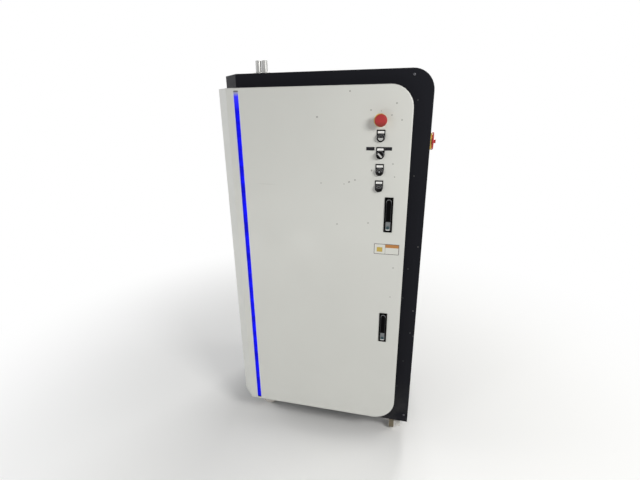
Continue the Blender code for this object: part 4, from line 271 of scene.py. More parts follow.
# Chips: small odd-shaped specks in a few of the cells of a cellular pattern.
chips, takes, gives = group("chips", {"Cells": 14.0, "Share": 0.12, "Size": 0.12}, ("Mask",))
where = node(chips, "TexCoord").outputs["Object"]
stray = node(chips, "VectorMath", {0: noise(chips, where, 260.0).outputs["Color"], "Scale": 0.0022},
             operation="SCALE")
bent = node(chips, "VectorMath", {0: where, 1: stray.outputs[0]}, operation="ADD")
cells = node(chips, "TexVoronoi", {"Vector": bent.outputs[0], "Scale": takes["Cells"]})
chance = node(chips, "SeparateColor", {"Color": cells.outputs["Color"]}).outputs
near = calc(chips, "LESS_THAN", cells.outputs["Distance"], calc(chips, "MULTIPLY", chance[1], takes["Size"]))
chosen = calc(chips, "LESS_THAN", chance[0], takes["Share"])
chips.links.new(calc(chips, "MULTIPLY", chosen, near), gives["Mask"])

# Settled dust: on faces that look up, and splashed up from the floor.
dusty, takes, gives = group("settled_dust", {"On top": 0.5, "From floor": 0.3, "Splash height": 0.35},
                            ("Mask",))
place = node(dusty, "TexCoord").outputs
cloud = noise(dusty, place["Object"], 9.0, 7.0, 0.7)
top = calc(dusty, "MULTIPLY", ramp(dusty, here(dusty, "Normal")["Z"], 0.55, 0.95), takes["On top"])
rise = calc(dusty, "DIVIDE", here(dusty)["Z"], takes["Splash height"])
fall = ramp(dusty, rise, 1.0, 0.0, interpolation_type="SMOOTHSTEP")
lying = calc(dusty, "ADD", top, calc(dusty, "MULTIPLY", fall, takes["From floor"]))
dust = calc(dusty, "MULTIPLY", lying, ramp(dusty, cloud.outputs[0], 0.38, 0.66), use_clamp=True)
dusty.links.new(dust, gives["Mask"])

# A small mark: an odd-shaped spot at a given place of a front face, round or drawn out sideways.
mark, takes, gives = group("small_mark", {"X": 0.0, "Z": 0.0, "Radius": 0.002, "Stretch": 1.0}, ("Mask",))
spot = here(mark)
drawn = calc(mark, "DIVIDE", calc(mark, "SUBTRACT", spot["X"], takes["X"]), takes["Stretch"])
flat = node(mark, "CombineXYZ", {"X": drawn, "Y": calc(mark, "SUBTRACT", spot["Z"], takes["Z"])})
away = node(mark, "VectorMath", {0: flat.outputs[0]}, operation="LENGTH")
part = calc(mark, "DIVIDE", away.outputs["Value"], takes["Radius"])
ragged = noise(mark, node(mark, "TexCoord").outputs["Object"], 420.0)
torn = calc(mark, "MULTIPLY_ADD", ragged.outputs[0], 0.9, part)
mark.links.new(ramp(mark, torn, 1.55, 1.0), gives["Mask"])


def sprayed(tree, colour, drift, roughness, grain, patchiness=0.08):
    """Places the sprayed coat in a material: its colour, roughness and height."""
    return effect(tree, "sprayed_coat", Colour=colour, Drift=drift, Roughness=roughness, Grain=grain,
                  Patchiness=patchiness).outputs


def dress(names, material):
    """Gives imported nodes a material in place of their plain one."""
    for name in names:
        packed = frame["nodes"][name]
        packed.data.materials.clear()
        packed.data.materials.append(material)


def bumped(tree, shader, height, strength, depth, edge=0.0):
    """Feeds a height through a Bump node into the shader, over rounded edges where edge is given."""
    bump = node(tree, "Bump", {"Height": height, "Strength": strength, "Distance": depth})
    if edge:
        soft_edge = node(tree, "Bevel", {"Radius": edge}, samples=4)
        tree.links.new(soft_edge.outputs[0], bump.inputs["Normal"])
    tree.links.new(bump.outputs[0], shader.inputs["Normal"])


def overlay(material, mask, colour):
    """Lays a colour over what already feeds the material's Base Color."""
    tree = material.node_tree
    shade = tree.nodes["Principled BSDF"].inputs["Base Color"]
    tree.links.new(mixed(tree, mask, shade.links[0].from_socket, colour), shade)


def marks(material, corner, spots, colour, weight, stretch=1.0):
    """Lays small marks over a front: each how far in from its lower right corner, how far up, and a radius."""
    tree = material.node_tree
    total = 0.0
    for inward, up, radius in spots:
        one = effect(tree, "small_mark", X=corner[0] - inward, Z=corner[1] + up, Radius=radius, Stretch=stretch)
        total = calc(tree, "MAXIMUM", total, one.outputs[0])
    overlay(material, calc(tree, "MULTIPLY", total, weight), colour)


def painted(name, colour, roughness, specular, drift, grain, wear, chip_share, top_dust, foot_dust,
            bare=PRIMER, bump_depth=0.0002):
    """A sprayed coat with worn edges, chips and dust over it; on the handle levers the edge colour is a painted
    highlight.
    """
    material, tree, shader = new_look(name)
    skin = sprayed(tree, colour, drift, roughness, grain)
    edge_wear_and_sheen_mask = effect(tree, "edge_wear_and_sheen", Reach=EDGE_WEAR_AND_SHEEN_REACH, Wear=wear)
    specks = effect(tree, "chips", Share=chip_share, Size=CHIP_SIZE)
    dust = effect(tree, "settled_dust", On_top=top_dust, From_floor=foot_dust).outputs[0]
    bare_and_sheen_mask = calc(tree, "MAXIMUM", edge_wear_and_sheen_mask.outputs[0], specks.outputs[0])
    tree.links.new(mixed(tree, bare_and_sheen_mask, skin["Colour"], bare), shader.inputs["Base Color"])
    overlay(material, dust, DUST)
    feed(tree, shader, {"Roughness": calc(tree, "MULTIPLY_ADD", dust, 0.3, skin["Roughness"]),
                        "Specular IOR Level": specular})
    bumped(tree, shader, skin["Height"], 0.35, bump_depth, edge=0.0006)
    return material


def metal(name, colour, drift, roughness, grain, metallic, strength=0.0, depth=0.0002, edge=0.0005,
          patchiness=0.08):
    """Bare, plated or blackened metal with a slow drift of tone, and a fine grain where it has a strength."""
    material, tree, shader = new_look(name)
    skin = sprayed(tree, colour, drift, roughness, grain, patchiness)
    feed(tree, shader, {"Base Color": skin["Colour"], "Roughness": skin["Roughness"], "Metallic": metallic})
    if strength:
        bumped(tree, shader, skin["Height"], strength, depth, edge=edge)
    return material


HOUSING_LOW, HOUSING_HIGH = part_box("front_frame")
BACK_LOW, BACK_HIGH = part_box("back_panel")
COAT = dict(colour=DARK_COAT, roughness=0.52, specular=0.06, drift=0.12, grain=900.0, wear=0.46,
            chip_share=0.10, top_dust=0.55, foot_dust=0.22)
dress(["roof_and_right_panel", "left_panel", "back_panel", "base_frame"], painted("dark_powder_coat", **COAT))

# The front flange has been knocked here and there, down to the bare sheet.
NICKS = (
    (0.0485, 1.1566, 0.0016), (0.0137, 0.8778, 0.0020), (0.0459, 0.7805, 0.0016), (0.0576, 0.6478, 0.0015),
    (0.0131, 0.5916, 0.0022), (0.0182, 0.4839, 0.0018), (0.0030, 0.4700, 0.0030), (0.0387, 0.3372, 0.0015),
    (0.0571, 0.1979, 0.0014), (0.0534, 1.4214, 0.0014),
)
front_coat = painted("dark_powder_coat_front", **COAT)
marks(front_coat, (HOUSING_HIGH.x, HOUSING_LOW.z), NICKS, NICK, 0.9)
dress(["front_frame"], front_coat)


def only(piece):
    """Makes one object the active and the only selected one."""
    deselect()
    piece.select_set(True)
    bpy.context.view_layer.objects.active = piece


def pick_faces(piece, wanted):
    """Opens a mesh in edit mode with just the faces selected that wanted(face) says."""
    only(piece)
    bpy.ops.object.mode_set(mode="EDIT")
    bpy.ops.mesh.select_mode(type="FACE")
    bpy.ops.mesh.select_all(action="DESELECT")
    bpy.ops.object.mode_set(mode="OBJECT")
    for face in piece.data.polygons:
        face.select = wanted(face)
    bpy.ops.object.mode_set(mode="EDIT")


def looks_ahead(face):
    """Whether a face looks to the front."""
    return face.normal.y < -0.9


def apply_transform():
    """Puts the selected piece's place, turn and scale into its mesh."""
    bpy.ops.object.transform_apply(location=True, rotation=True, scale=True)


def cylinder(sides, radius, depth, middle=(0, 0, 0), turn=(QUARTER_TURN, 0, 0)):
    """A cylinder that lies along Y unless it is turned otherwise."""
    deselect()
    bpy.ops.mesh.primitive_cylinder_add(vertices=sides, radius=radius, depth=depth, location=middle,
                                        rotation=turn)
    apply_transform()
    return bpy.context.active_object


def block(middle, size):
    """A plain block, to be worked further or to cut with."""
    deselect()
    bpy.ops.mesh.primitive_cube_add(size=1.0, location=middle, scale=size)
    apply_transform()
    return bpy.context.active_object


def cut_away(piece, tool):
    """Cuts the tool's shape out of a piece, and removes the tool."""
    cut = piece.modifiers.new("cut", "BOOLEAN")
    cut.operation, cut.solver, cut.object = "DIFFERENCE", "EXACT", tool
    only(piece)
    bpy.ops.object.modifier_apply(modifier=cut.name)
    bpy.data.objects.remove(tool)


def settle(piece, name, body, material):
    """Puts a finished piece's place into its mesh, and gives it its name, finish and body."""
    only(piece)
    apply_transform()
    piece.name = piece.data.name = name
    piece.data.materials.clear()
    piece.data.materials.append(material)
    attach(piece, body)
    return piece


def measured(name):
    """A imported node's box: its low corner, its high corner and its middle."""
    low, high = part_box(name)
    return low, high, (low + high) / 2


def ends(low, high, inset):
    """The two places that lie a little in from either end."""
    return low + inset, high - inset


def repeat(model, places, turn=(0, 0, 0)):
    """Copies a model, each copy with its own mesh, to the places, and joins the copies into one piece."""
    copies = []
    for spot in places:
        copy = model.copy()
        copy.data = model.data.copy()
        bpy.context.scene.collection.objects.link(copy)
        copy.location, copy.rotation_euler = spot, turn
        copies.append(copy)
    only(copies[0])
    for copy in copies:
        copy.select_set(True)
    bpy.ops.object.join()
    bpy.data.objects.remove(model)
    return copies[0]


def pan_head(radius, height):
    """A pan-head screw with a cross recess, seated on y = 0 and looking to -Y."""
    head = cylinder(SCREW_SIDES, radius, height, (0, -height / 2, 0))
    pick_faces(head, looks_ahead)
    bpy.ops.mesh.bevel(offset=height * 0.55, segments=3, affect="EDGES")
    bpy.ops.object.mode_set(mode="OBJECT")
    for wide, tall in ((RECESS_LONG, RECESS_WIDE), (RECESS_WIDE, RECESS_LONG)):
        cut_away(head, block((0, -height, 0), (radius * wide, height, radius * tall)))
    bpy.ops.object.shade_smooth_by_angle(angle=math.radians(35))
    return head


def hex_head(across, height):
    """A hexagon head on its washer, seated on y = 0 and looking to -Y."""
    washer = cylinder(24, across * 0.62, height * 0.3, (0, -height * 0.15, 0))
    head = cylinder(6, across * 0.577, height, (0, -height * 0.8, 0))
    pick_faces(head, looks_ahead)
    bpy.ops.mesh.inset(thickness=across * 0.07, depth=0.0)
    bpy.ops.transform.translate(value=(0, -height * 0.12, 0))
    bpy.ops.object.mode_set(mode="OBJECT")
    washer.select_set(True)
    bpy.ops.object.join()
    return head


blackened = metal("blackened_screw", (0.09, 0.09, 0.10, 1.0), 0.2, 0.34, 900.0, 0.8)
front_screws = repeat(pan_head(*COVER_SCREW), [
    (HOUSING_HIGH.x - 0.0704, HOUSING_LOW.y, HOUSING_HIGH.z - 0.0216),
    (HOUSING_HIGH.x - 0.0175, HOUSING_LOW.y, HOUSING_LOW.z + 0.0395)])
settle(front_screws, "front_frame_screws", "cabinet", blackened)

BACK_ROWS, BACK_FIRST_ROW, BACK_ROWS_SHORT_OF = 4, 0.07, 0.17
BACK_SCREW_INSET, BACK_SCREW_SEAT = 0.013, 0.008
row_pitch = (BACK_HIGH.z - BACK_LOW.z - BACK_ROWS_SHORT_OF) / (BACK_ROWS - 1)
back_screws = repeat(pan_head(*COVER_SCREW), [
    (x, BACK_HIGH.y - BACK_SCREW_SEAT, BACK_LOW.z + BACK_FIRST_ROW + i * row_pitch)
    for x in ends(BACK_LOW.x, BACK_HIGH.x, BACK_SCREW_INSET) for i in range(BACK_ROWS)],
    (0, 0, HALF_TURN))
settle(back_screws, "back_panel_screws", "cabinet", blackened)


# ---- Casters
# Pressed forks of zinc-plated steel on a ball race, with turned nylon wheels whose treads are a
# darker brown. The front pair has a pressed foot brake.

ZINC = (0.50, 0.49, 0.46, 1.0)
NYLON = (0.55, 0.52, 0.48, 1.0)
TREAD_BROWN = (0.14, 0.115, 0.07, 1.0)
CORNERS = ("front_left", "front_right", "rear_left", "rear_right")
WHEEL_RADIUS, WHEEL_HALF, WHEEL_ROUNDING = 0.0375, 0.0125, 0.0035
WHEEL_SIDES = 72
AXLE_HOLE, AXLE_HOLE_SIDES = 0.0044, 32
# The wheel's side from its rim inwards: how far each ring reaches in, and how far it rises.
WHEEL_STEPS = ((0.0045, 0.0), (0.0175, -0.005), (0.002, 0.0065))

plated = metal("zinc_plated_steel", ZINC, 0.22, 0.36, 420.0, 0.0, 0.3, patchiness=0.12)
tree = plated.node_tree
dust = effect(tree, "settled_dust", On_top=0.3, From_floor=0.35, Splash_height=0.12).outputs[0]
overlay(plated, dust, DUST)
tree.links.new(ramp(tree, dust, 0.0, 1.0, 0.75, 0.1), tree.nodes["Principled BSDF"].inputs["Metallic"])
dress([f"caster_{corner}_fork" for corner in CORNERS], plated)
dress(["caster_front_left_brake", "caster_front_right_brake", "gland_plate"], plated)


def moulded(name, colour, roughness, drift=0.06, grain=500.0, strength=0.25, edge=0.0005, specular=0.5,
            dust_on_top=0.25):
    """Moulded plastic: a soft sheen with a fine grain, rounded edges and a little dust."""
    material, tree, shader = new_look(name)
    skin = sprayed(tree, colour, drift, roughness, grain, 0.05)
    dust = effect(tree, "settled_dust", On_top=dust_on_top, From_floor=0.0).outputs[0]
    feed(tree, shader, {"Base Color": mixed(tree, dust, skin["Colour"], DUST), "Roughness": skin["Roughness"],
                        "Specular IOR Level": specular})
    bumped(tree, shader, skin["Height"], strength, 0.00015, edge=edge)
    return material


def wheel_look(name, axle):
    """Nylon with a darker brown tread: the faces that look away from the axle's line."""
    material = moulded(name, NYLON, 0.5, drift=0.12, grain=300.0)
    tree = material.node_tree
    along = calc(tree, "ABSOLUTE", here(tree, "Normal")[axle])
    overlay(material, ramp(tree, along, 0.75, 0.45), TREAD_BROWN)
    return material


def turned_wheel():
    """A wheel with a rounded tread, a dished web and a hub bored for its axle, which lies along X."""
    wheel = cylinder(WHEEL_SIDES, WHEEL_RADIUS, WHEEL_HALF * 2, turn=(0, QUARTER_TURN, 0))
    pick_faces(wheel, lambda face: abs(face.normal.x) > 0.9)
    bpy.ops.mesh.bevel(offset=WHEEL_ROUNDING, segments=4, affect="EDGES")
    bpy.ops.object.mode_set(mode="OBJECT")
    pick_faces(wheel, lambda face: abs(face.normal.x) > 0.999)
    for inward, rise in WHEEL_STEPS:
        bpy.ops.mesh.inset(thickness=inward, depth=rise)
    bpy.ops.object.mode_set(mode="OBJECT")
    cut_away(wheel, cylinder(AXLE_HOLE_SIDES, AXLE_HOLE, WHEEL_HALF * 4, turn=(0, QUARTER_TURN, 0)))
    bpy.ops.object.shade_smooth_by_angle(angle=math.radians(32))
    return wheel


along_y, along_x = wheel_look("wheel_nylon_sideways", "Y"), wheel_look("wheel_nylon", "X")
for corner in CORNERS:
    sideways = corner == "front_left"
    wheel = repeat(turned_wheel(), [measured(f"caster_{corner}_wheel")[2]],
                   (0, 0, QUARTER_TURN if sideways else 0))
    settle(wheel, f"{corner}_wheel", f"wheel_{corner}", along_y if sideways else along_x)
    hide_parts(f"caster_{corner}_wheel")


# ---- Roof sockets
# Two turned steel sockets, dull zinc plated, on one flange over the front of the roof, which two
# cross-recessed screws hold.

SOCKET_SCREW = (0.0042, 0.0024)
FLANGE_INSET, FLANGE_SEAT = 0.009, 0.002
dress(["roof_sockets"], metal("dull_zinc", (0.40, 0.40, 0.39, 1.0), 0.2, 0.45, 420.0, 0.35, 0.25,
                              edge=0.0004, patchiness=0.12))
low, high, middle = measured("roof_sockets")
flange_screws = repeat(pan_head(*SOCKET_SCREW), [
    (x, middle.y, low.z + FLANGE_SEAT) for x in ends(low.x, high.x, FLANGE_INSET)], (-QUARTER_TURN, 0, 0))
settle(flange_screws, "socket_flange_screws", "cabinet", plated)


# ---- Fan and vent
# A black axial fan of moulded plastic, behind a louvre that is moulded in one piece. Both are
# screwed to the back panel, high up.

dress(["vent_grille", "fan_housing", "fan_rotor"],
      moulded("black_moulding", (0.0045, 0.0045, 0.005, 1.0), 0.42, specular=0.15))


# ---- Mounting plate and devices
# A galvanised plate with steel rails, slotted grey ducts, and the drives, relays and supplies of
# the machine in their moulded cases.

FLAKES = 85.0
galvanised = metal("galvanised_sheet", (0.60, 0.60, 0.59, 1.0), 0.06, 0.38, 260.0, 0.9, 0.15)
tree = galvanised.node_tree
shade = tree.nodes["Principled BSDF"].inputs["Base Color"]
flakes = node(tree, "TexVoronoi", {"Vector": node(tree, "TexCoord").outputs["Object"], "Scale": FLAKES})
flake_tone = node(tree, "SeparateColor", {"Color": flakes.outputs["Color"]}).outputs[0]
spangled = node(tree, "HueSaturation", {"Color": shade.links[0].from_socket,
                                        "Value": ramp(tree, flake_tone, 0.0, 1.0, 0.86, 1.06)})
tree.links.new(spangled.outputs[0], shade)

grey_moulding = moulded("grey_moulding", (0.30, 0.31, 0.32, 1.0), 0.5)
pale_moulding = moulded("pale_moulding", (0.62, 0.62, 0.59, 1.0), 0.48)
green_moulding = moulded("green_moulding", (0.04, 0.20, 0.09, 1.0), 0.42)
device_black = moulded("device_black", (0.014, 0.014, 0.015, 1.0), 0.45, specular=0.3)
dress(["mounting_plate", "power_supply"], galvanised)
dress(["wiring_ducts", "motion_controller"], grey_moulding)
dress(["main_breaker", "servo_drive", "laser_source"], pale_moulding)
dress(["contactors", "main_breaker_toggle", "main_switch_body"], device_black)
dress(["terminal_strip"], green_moulding)


# ---- Door
# One folded sheet with a bevelled hinge side, in a warm off-white satin powder coat, and a
# top-hat frame spot welded inside it. Handling has left grey specks and one faint scratch.

WHITE_COAT = dict(colour=(0.580, 0.584, 0.552, 1.0), roughness=0.42, specular=0.45, drift=0.025, grain=800.0,
                  wear=0.22, chip_share=0.0, top_dust=0.25, foot_dust=0.10, bare=(0.42, 0.42, 0.40, 1.0),
                  bump_depth=0.00012)
SPECK = (0.20, 0.20, 0.18, 1.0)
SPECKS = (
    (0.3403, 1.3285, 0.0039), (0.2206, 1.4137, 0.00338), (0.0572, 1.3718, 0.00338), (0.1454, 1.3502, 0.00312),
    (0.1094, 1.3470, 0.00208), (0.0721, 1.3330, 0.00312), (0.0371, 1.3162, 0.00312), (0.3278, 1.0877, 0.0026),
    (0.2384, 1.0867, 0.00234), (0.2194, 1.0949, 0.0039), (0.1968, 1.1031, 0.00338), (0.1359, 1.1400, 0.0039),
    (0.0600, 1.1650, 0.00286), (0.0520, 1.1180, 0.0026), (0.2647, 0.9272, 0.00312), (0.1430, 0.9381, 0.00312),
    (0.0386, 0.7584, 0.00312), (0.0438, 0.6295, 0.00286),
)
SCRATCH = (0.553, 1.0768, 0.0013)
SCRATCH_STRETCH = 34.0
SPILL_COLOUR, SPILL_REACH, SPILL_TOP = (0.62, 0.60, 0.98, 1.0), 0.007, 0.010
DOOR_CORNER = (DOOR_HIGH.x, DOOR_LOW.z)
STRIP_LOW, STRIP_HIGH, STRIP_MIDDLE = measured("led_diffuser")
STRIP_HALF = (STRIP_HIGH.x - STRIP_LOW.x) / 2

dress(["door_stiffener"], painted("white_powder_coat", **WHITE_COAT))
door_coat = painted("white_powder_coat_door", **WHITE_COAT)
marks(door_coat, DOOR_CORNER, SPECKS, SPECK, 0.85)
marks(door_coat, DOOR_CORNER, (SCRATCH,), SPECK, 0.22, stretch=SCRATCH_STRETCH)

# The strip's light spills a little onto the coat beside it.
tree = door_coat.node_tree
spot = here(tree)
beside = calc(tree, "ABSOLUTE", calc(tree, "SUBTRACT", spot["X"], STRIP_MIDDLE.x))
spill = ramp(tree, beside, STRIP_HALF, STRIP_HALF + SPILL_REACH, 0.5, 0.0)
spill = calc(tree, "MULTIPLY", spill, calc(tree, "GREATER_THAN", spot["Z"], STRIP_LOW.z))
spill = calc(tree, "MULTIPLY", spill, calc(tree, "LESS_THAN", spot["Z"], STRIP_HIGH.z - SPILL_TOP))
overlay(door_coat, spill, SPILL_COLOUR)
dress(["door_panel"], door_coat)
dress(["door_gasket"], moulded("sponge_seal", (0.018, 0.018, 0.018, 1.0), 0.85, grain=350.0, strength=0.6,
                               specular=0.2))


# ---- Light strip
# A blue light strip in a drawn and anodised aluminium channel, under a moulded diffuser that lies
# flush with the door, with clear plugs at its ends.

BLACK = (0.0, 0.0, 0.0, 1.0)
PLUG_LENGTH = 0.012
LAMP_PITCH, BEAD = 0.0167, 0.07
CLEAR_RUN, PALE_RUN = 0.020, 0.075

dress(["led_channel"], metal("anodised_aluminium", (0.60, 0.60, 0.62, 1.0), 0.05, 0.34, 600.0, 0.95, 0.2,
                             depth=0.0001, edge=0.0004))

strip, tree, shader = new_look("lit_strip")
spot = here(tree)
beads = calc(tree, "SINE", calc(tree, "MULTIPLY", spot["Z"], FULL_TURN / LAMP_PITCH))
uneven = node(tree, "TexNoise", {"W": spot["Z"], "Scale": 14.0, "Detail": 3.0}, noise_dimensions="1D")
slow_level = ramp(tree, uneven.outputs[0], 0.32, 0.62, 0.25, 0.95)
down = calc(tree, "SUBTRACT", STRIP_HIGH.z, spot["Z"])
clearing = ramp(tree, down, CLEAR_RUN, 0.008)
glow = (0.0, 0.0, 0.45, 1.0)
# Over the deep blue: the lamps' own beads, a darker left side, a paler top end, and the dark plugs.
for mask, colour in (
        (calc(tree, "MULTIPLY_ADD", beads, BEAD, slow_level), (0.004, 0.004, 1.0, 1.0)),
        (ramp(tree, spot["X"], STRIP_LOW.x + 0.003, STRIP_LOW.x + 0.007, 0.65, 0.0), (0.0, 0.0, 0.40, 1.0)),
        (ramp(tree, down, PALE_RUN, CLEAR_RUN, 0.0, 0.8), (0.050, 0.045, 1.0, 1.0)),
        (clearing, (0.16, 0.16, 0.36, 1.0)),
        (ramp(tree, down, 0.006, 0.003), BLACK),
        (calc(tree, "LESS_THAN", spot["Z"], STRIP_LOW.z + PLUG_LENGTH / 2), BLACK)):
    glow = mixed(tree, mask, glow, colour)
feed(tree, shader, {
    "Emission Color": glow, "Emission Strength": 1.0, "Roughness": 0.55, "Specular IOR Level": 0.06,
    "Base Color": mixed(tree, clearing, (0.001, 0.001, 0.02, 1.0), (0.16, 0.16, 0.17, 1.0))})
dress(["led_diffuser"], strip)


# ---- Label place
# A blank self-adhesive vinyl label, stuck where the door has one: a ruled edge, a dividing line
# and plain colour fields.

LABEL_WIDTH, LABEL_HEIGHT = 0.097, 0.043
LABEL_X, LABEL_Z = DOOR_HIGH.x - 0.068, DOOR_LOW.z + 0.835
LABEL_SPLIT, LABEL_BAR = DOOR_HIGH.x - 0.0725, DOOR_LOW.z + 0.8415
LABEL_EDGE, LABEL_LINE = 0.0022, 0.0009
LABEL_LEFT, LABEL_RIGHT = LABEL_X - LABEL_WIDTH / 2, LABEL_X + LABEL_WIDTH / 2
LABEL_LOW, LABEL_HIGH = LABEL_Z - LABEL_HEIGHT / 2, LABEL_Z + LABEL_HEIGHT / 2
RULED, PALE_FIELD = (0.09, 0.08, 0.075, 1.0), (0.60, 0.60, 0.56, 1.0)
FIELD_LOW, FIELD_HIGH, FIELD_RIGHT = LABEL_LOW + LABEL_EDGE, LABEL_HIGH - LABEL_EDGE, LABEL_RIGHT - LABEL_EDGE
# Each field: its left, foot, right and top, and its colour.
FIELDS = (
    (LABEL_LEFT + LABEL_EDGE, FIELD_LOW, LABEL_SPLIT - LABEL_LINE, FIELD_HIGH, PALE_FIELD),
    (LABEL_SPLIT, FIELD_LOW, FIELD_RIGHT, FIELD_HIGH, PALE_FIELD),
    (LABEL_SPLIT, LABEL_BAR, FIELD_RIGHT, FIELD_HIGH, (0.40, 0.165, 0.035, 1.0)),
    (LABEL_LEFT + 0.011, LABEL_LOW + 0.010, LABEL_LEFT + 0.033, LABEL_LOW + 0.029, (0.46, 0.33, 0.05, 1.0)),
)


def between(tree, value, low, high):
    """A mask that is 1 where the value lies between two limits."""
    away = calc(tree, "ABSOLUTE", calc(tree, "SUBTRACT", value, (low + high) / 2))
    return calc(tree, "LESS_THAN", away, (high - low) / 2)


def thin_plate(x, z, width, height, back, thickness, corner, edge):
    """A plate standing on a front face, its corners rounded and its front edges eased."""
    plate = block((x, back - thickness / 2, z), (width, thickness, height))
    only(plate)
    bpy.ops.object.mode_set(mode="EDIT")
    bpy.ops.mesh.select_mode(type="EDGE")
    bpy.ops.mesh.select_all(action="DESELECT")
    bpy.ops.object.mode_set(mode="OBJECT")
    corners = plate.data.vertices
    for line in plate.data.edges:
        first, second = (corners[i].co for i in line.vertices)
        line.select = abs(first.y - second.y) > thickness / 2
    bpy.ops.object.mode_set(mode="EDIT")
    bpy.ops.mesh.bevel(offset=corner, segments=4, affect="EDGES")
    bpy.ops.object.mode_set(mode="OBJECT")
    pick_faces(plate, looks_ahead)
    bpy.ops.mesh.bevel(offset=edge, segments=2, affect="EDGES")
    bpy.ops.object.mode_set(mode="OBJECT")
    return plate


label_look, tree, shader = new_look("label_vinyl")
spot = here(tree)
print_colour = RULED
for left, foot, right, head, colour in FIELDS:
    inside = calc(tree, "MULTIPLY", between(tree, spot["X"], left, right), between(tree, spot["Z"], foot, head))
    print_colour = mixed(tree, inside, print_colour, colour)
skin = sprayed(tree, print_colour, 0.04, 0.4, 300.0)
feed(tree, shader, {"Base Color": skin["Colour"], "Roughness": skin["Roughness"]})
bumped(tree, shader, skin["Height"], 0.1, 0.0001)
label = thin_plate(LABEL_X, LABEL_Z, LABEL_WIDTH, LABEL_HEIGHT, DOOR_LOW.y, 0.0003, 0.0022, 0.0001)
settle(label, "blank_label", "door", label_look)


# ---- Hinges
# Folded steel leaves, coated black, that reach round the housing's bevel to a pin inside the
# door's fold.

black_metal = painted("black_coat", (0.012, 0.012, 0.013, 1.0), 0.45, 0.35, 0.05, 900.0, 0.40, 0.0, 0.1, 0.0)
dress([f"{level}_hinge_{part}_leaf" for level in ("upper", "middle", "lower") for part in ("frame", "door")],
      black_metal)


# ---- Emergency stop and main switch
# A red mushroom head in a yellow collar on a yellow film ring, and on the right side a red knob on a
# yellow plate, all moulded. The head is worn matt, and painted shade darkens it to brown towards the bottom.

YELLOW = (0.62, 0.40, 0.06, 1.0)
ESTOP = measured("emergency_stop_head")[2]
FILM_SIDES, FILM_OUTER, FILM_HOLE, FILM_THICKNESS, FILM_ASIDE = 48, 0.0232, 0.0155, 0.0002, 0.0040

dress(["main_switch_knob"], moulded("red_moulding", (0.40, 0.030, 0.028, 1.0), 0.42, grain=300.0, specular=0.3))
dress(["main_switch_plate"], moulded("yellow_moulding", YELLOW, 0.42))

# The collar is yellow, and the contact block behind the door is black.
collar_look = moulded("yellow_collar", YELLOW, 0.42)
tree = collar_look.node_tree
overlay(collar_look, calc(tree, "GREATER_THAN", here(tree)["Y"], DOOR_LOW.y + 0.001),
        (0.010, 0.010, 0.011, 1.0))
dress(["emergency_stop_body"], collar_look)

red_head = moulded("red_moulding_painted_shade", (0.36, 0.034, 0.034, 1.0), 0.5, grain=300.0, specular=0.2)
tree = red_head.node_tree
# Painted shade: the head darkens to brown towards its lower edge.
overlay(red_head, ramp(tree, here(tree)["Z"], ESTOP.z - 0.004, ESTOP.z - 0.016, 0.0, 0.75),
        (0.16, 0.026, 0.016, 1.0))
dress(["emergency_stop_head"], red_head)

film_middle = (ESTOP.x - FILM_ASIDE, DOOR_LOW.y - FILM_THICKNESS / 2, ESTOP.z)
film = cylinder(FILM_SIDES, FILM_OUTER, FILM_THICKNESS, film_middle)
cut_away(film, cylinder(FILM_SIDES, FILM_HOLE, FILM_THICKNESS * 3, film_middle))
settle(film, "emergency_stop_film", "door", moulded("yellow_film", (0.60, 0.40, 0.10, 1.0), 0.5, specular=0.3))


# ---- Push buttons and key switch
# Moulded black bezels on legend plates, with a white card in each and a painted grey highlight on the
# upper half of each bezel's ring, and black clear-coated caps, the middle one with a small grey lens.
# The caps carry painted reflections and highlights: a pale lower half on the upper one, grey arcs on
# all three and a grey band on the lower one. The key switch has a turned rotor.

BUTTONS = ("upper_button", "middle_button", "lower_button", "key_switch")
LEGEND_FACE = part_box("upper_button_body")[0].y + 0.0088
BEZEL_MIDDLE_UP = 0.015
OPERATOR_BLACK = (0.0016, 0.0016, 0.0018, 1.0)
CARD_WIDTH, CARD_HEIGHT, CARD_BELOW_TOP = 0.0228, 0.0080, 0.0045
# Each cap's painted fields, which are painted reflections and highlights apart from the middle one's lens: the
# reach from its middle, the heights, and the colour.
CAP_REFLECTIONS_AND_LENS = {
    "upper_button": (((0.0, 0.0092), (-0.0100, -0.0004), (0.42, 0.42, 0.41, 1.0)),
                     ((0.0060, 0.0095), (0.0030, 0.0110), (0.06, 0.06, 0.06, 1.0))),
    "middle_button": (((0.0, 0.0028), (-0.0110, 0.0110), (0.26, 0.27, 0.28, 1.0)),
                      ((0.0072, 0.0100), (0.0, 0.0110), (0.10, 0.10, 0.10, 1.0))),
    "lower_button": (((0.0060, 0.0100), (0.0015, 0.0110), (0.10, 0.10, 0.10, 1.0)),
                     ((0.0, 0.0070), (-0.0010, 0.0022), (0.07, 0.07, 0.07, 1.0))),
}
# The two small plates beside the key switch: how far in from the door's right edge each begins and ends.
KEY_PLATES = (("left", 0.158, 0.128), ("right", 0.091, 0.066))
KEY_PLATE_UP, KEY_PLATE_HEIGHT = 1.218, 0.0120


def turned_face(tree, x, z):
    """The place on a round operator: how far from its middle, how far above it, and how deep."""
    spot = here(tree)
    above = calc(tree, "SUBTRACT", spot["Z"], z)
    flat = node(tree, "CombineXYZ", {"X": calc(tree, "SUBTRACT", spot["X"], x), "Y": above})
    radius = node(tree, "VectorMath", {0: flat.outputs[0]}, operation="LENGTH")
    return radius.outputs["Value"], above, spot["Y"]


def band(tree, value, low, high, soft):
    """A mask that is 1 between two limits and falls off softly outside them."""
    return calc(tree, "MULTIPLY", ramp(tree, value, low - soft, low), ramp(tree, value, high + soft, high))


def lay_band(material, colour, *bands):
    """Lays a colour where all the bands meet, each a value, its two limits and its softness."""
    total = 1.0
    for limits in bands:
        total = calc(material.node_tree, "MULTIPLY", total, band(material.node_tree, *limits))
    overlay(material, total, colour)


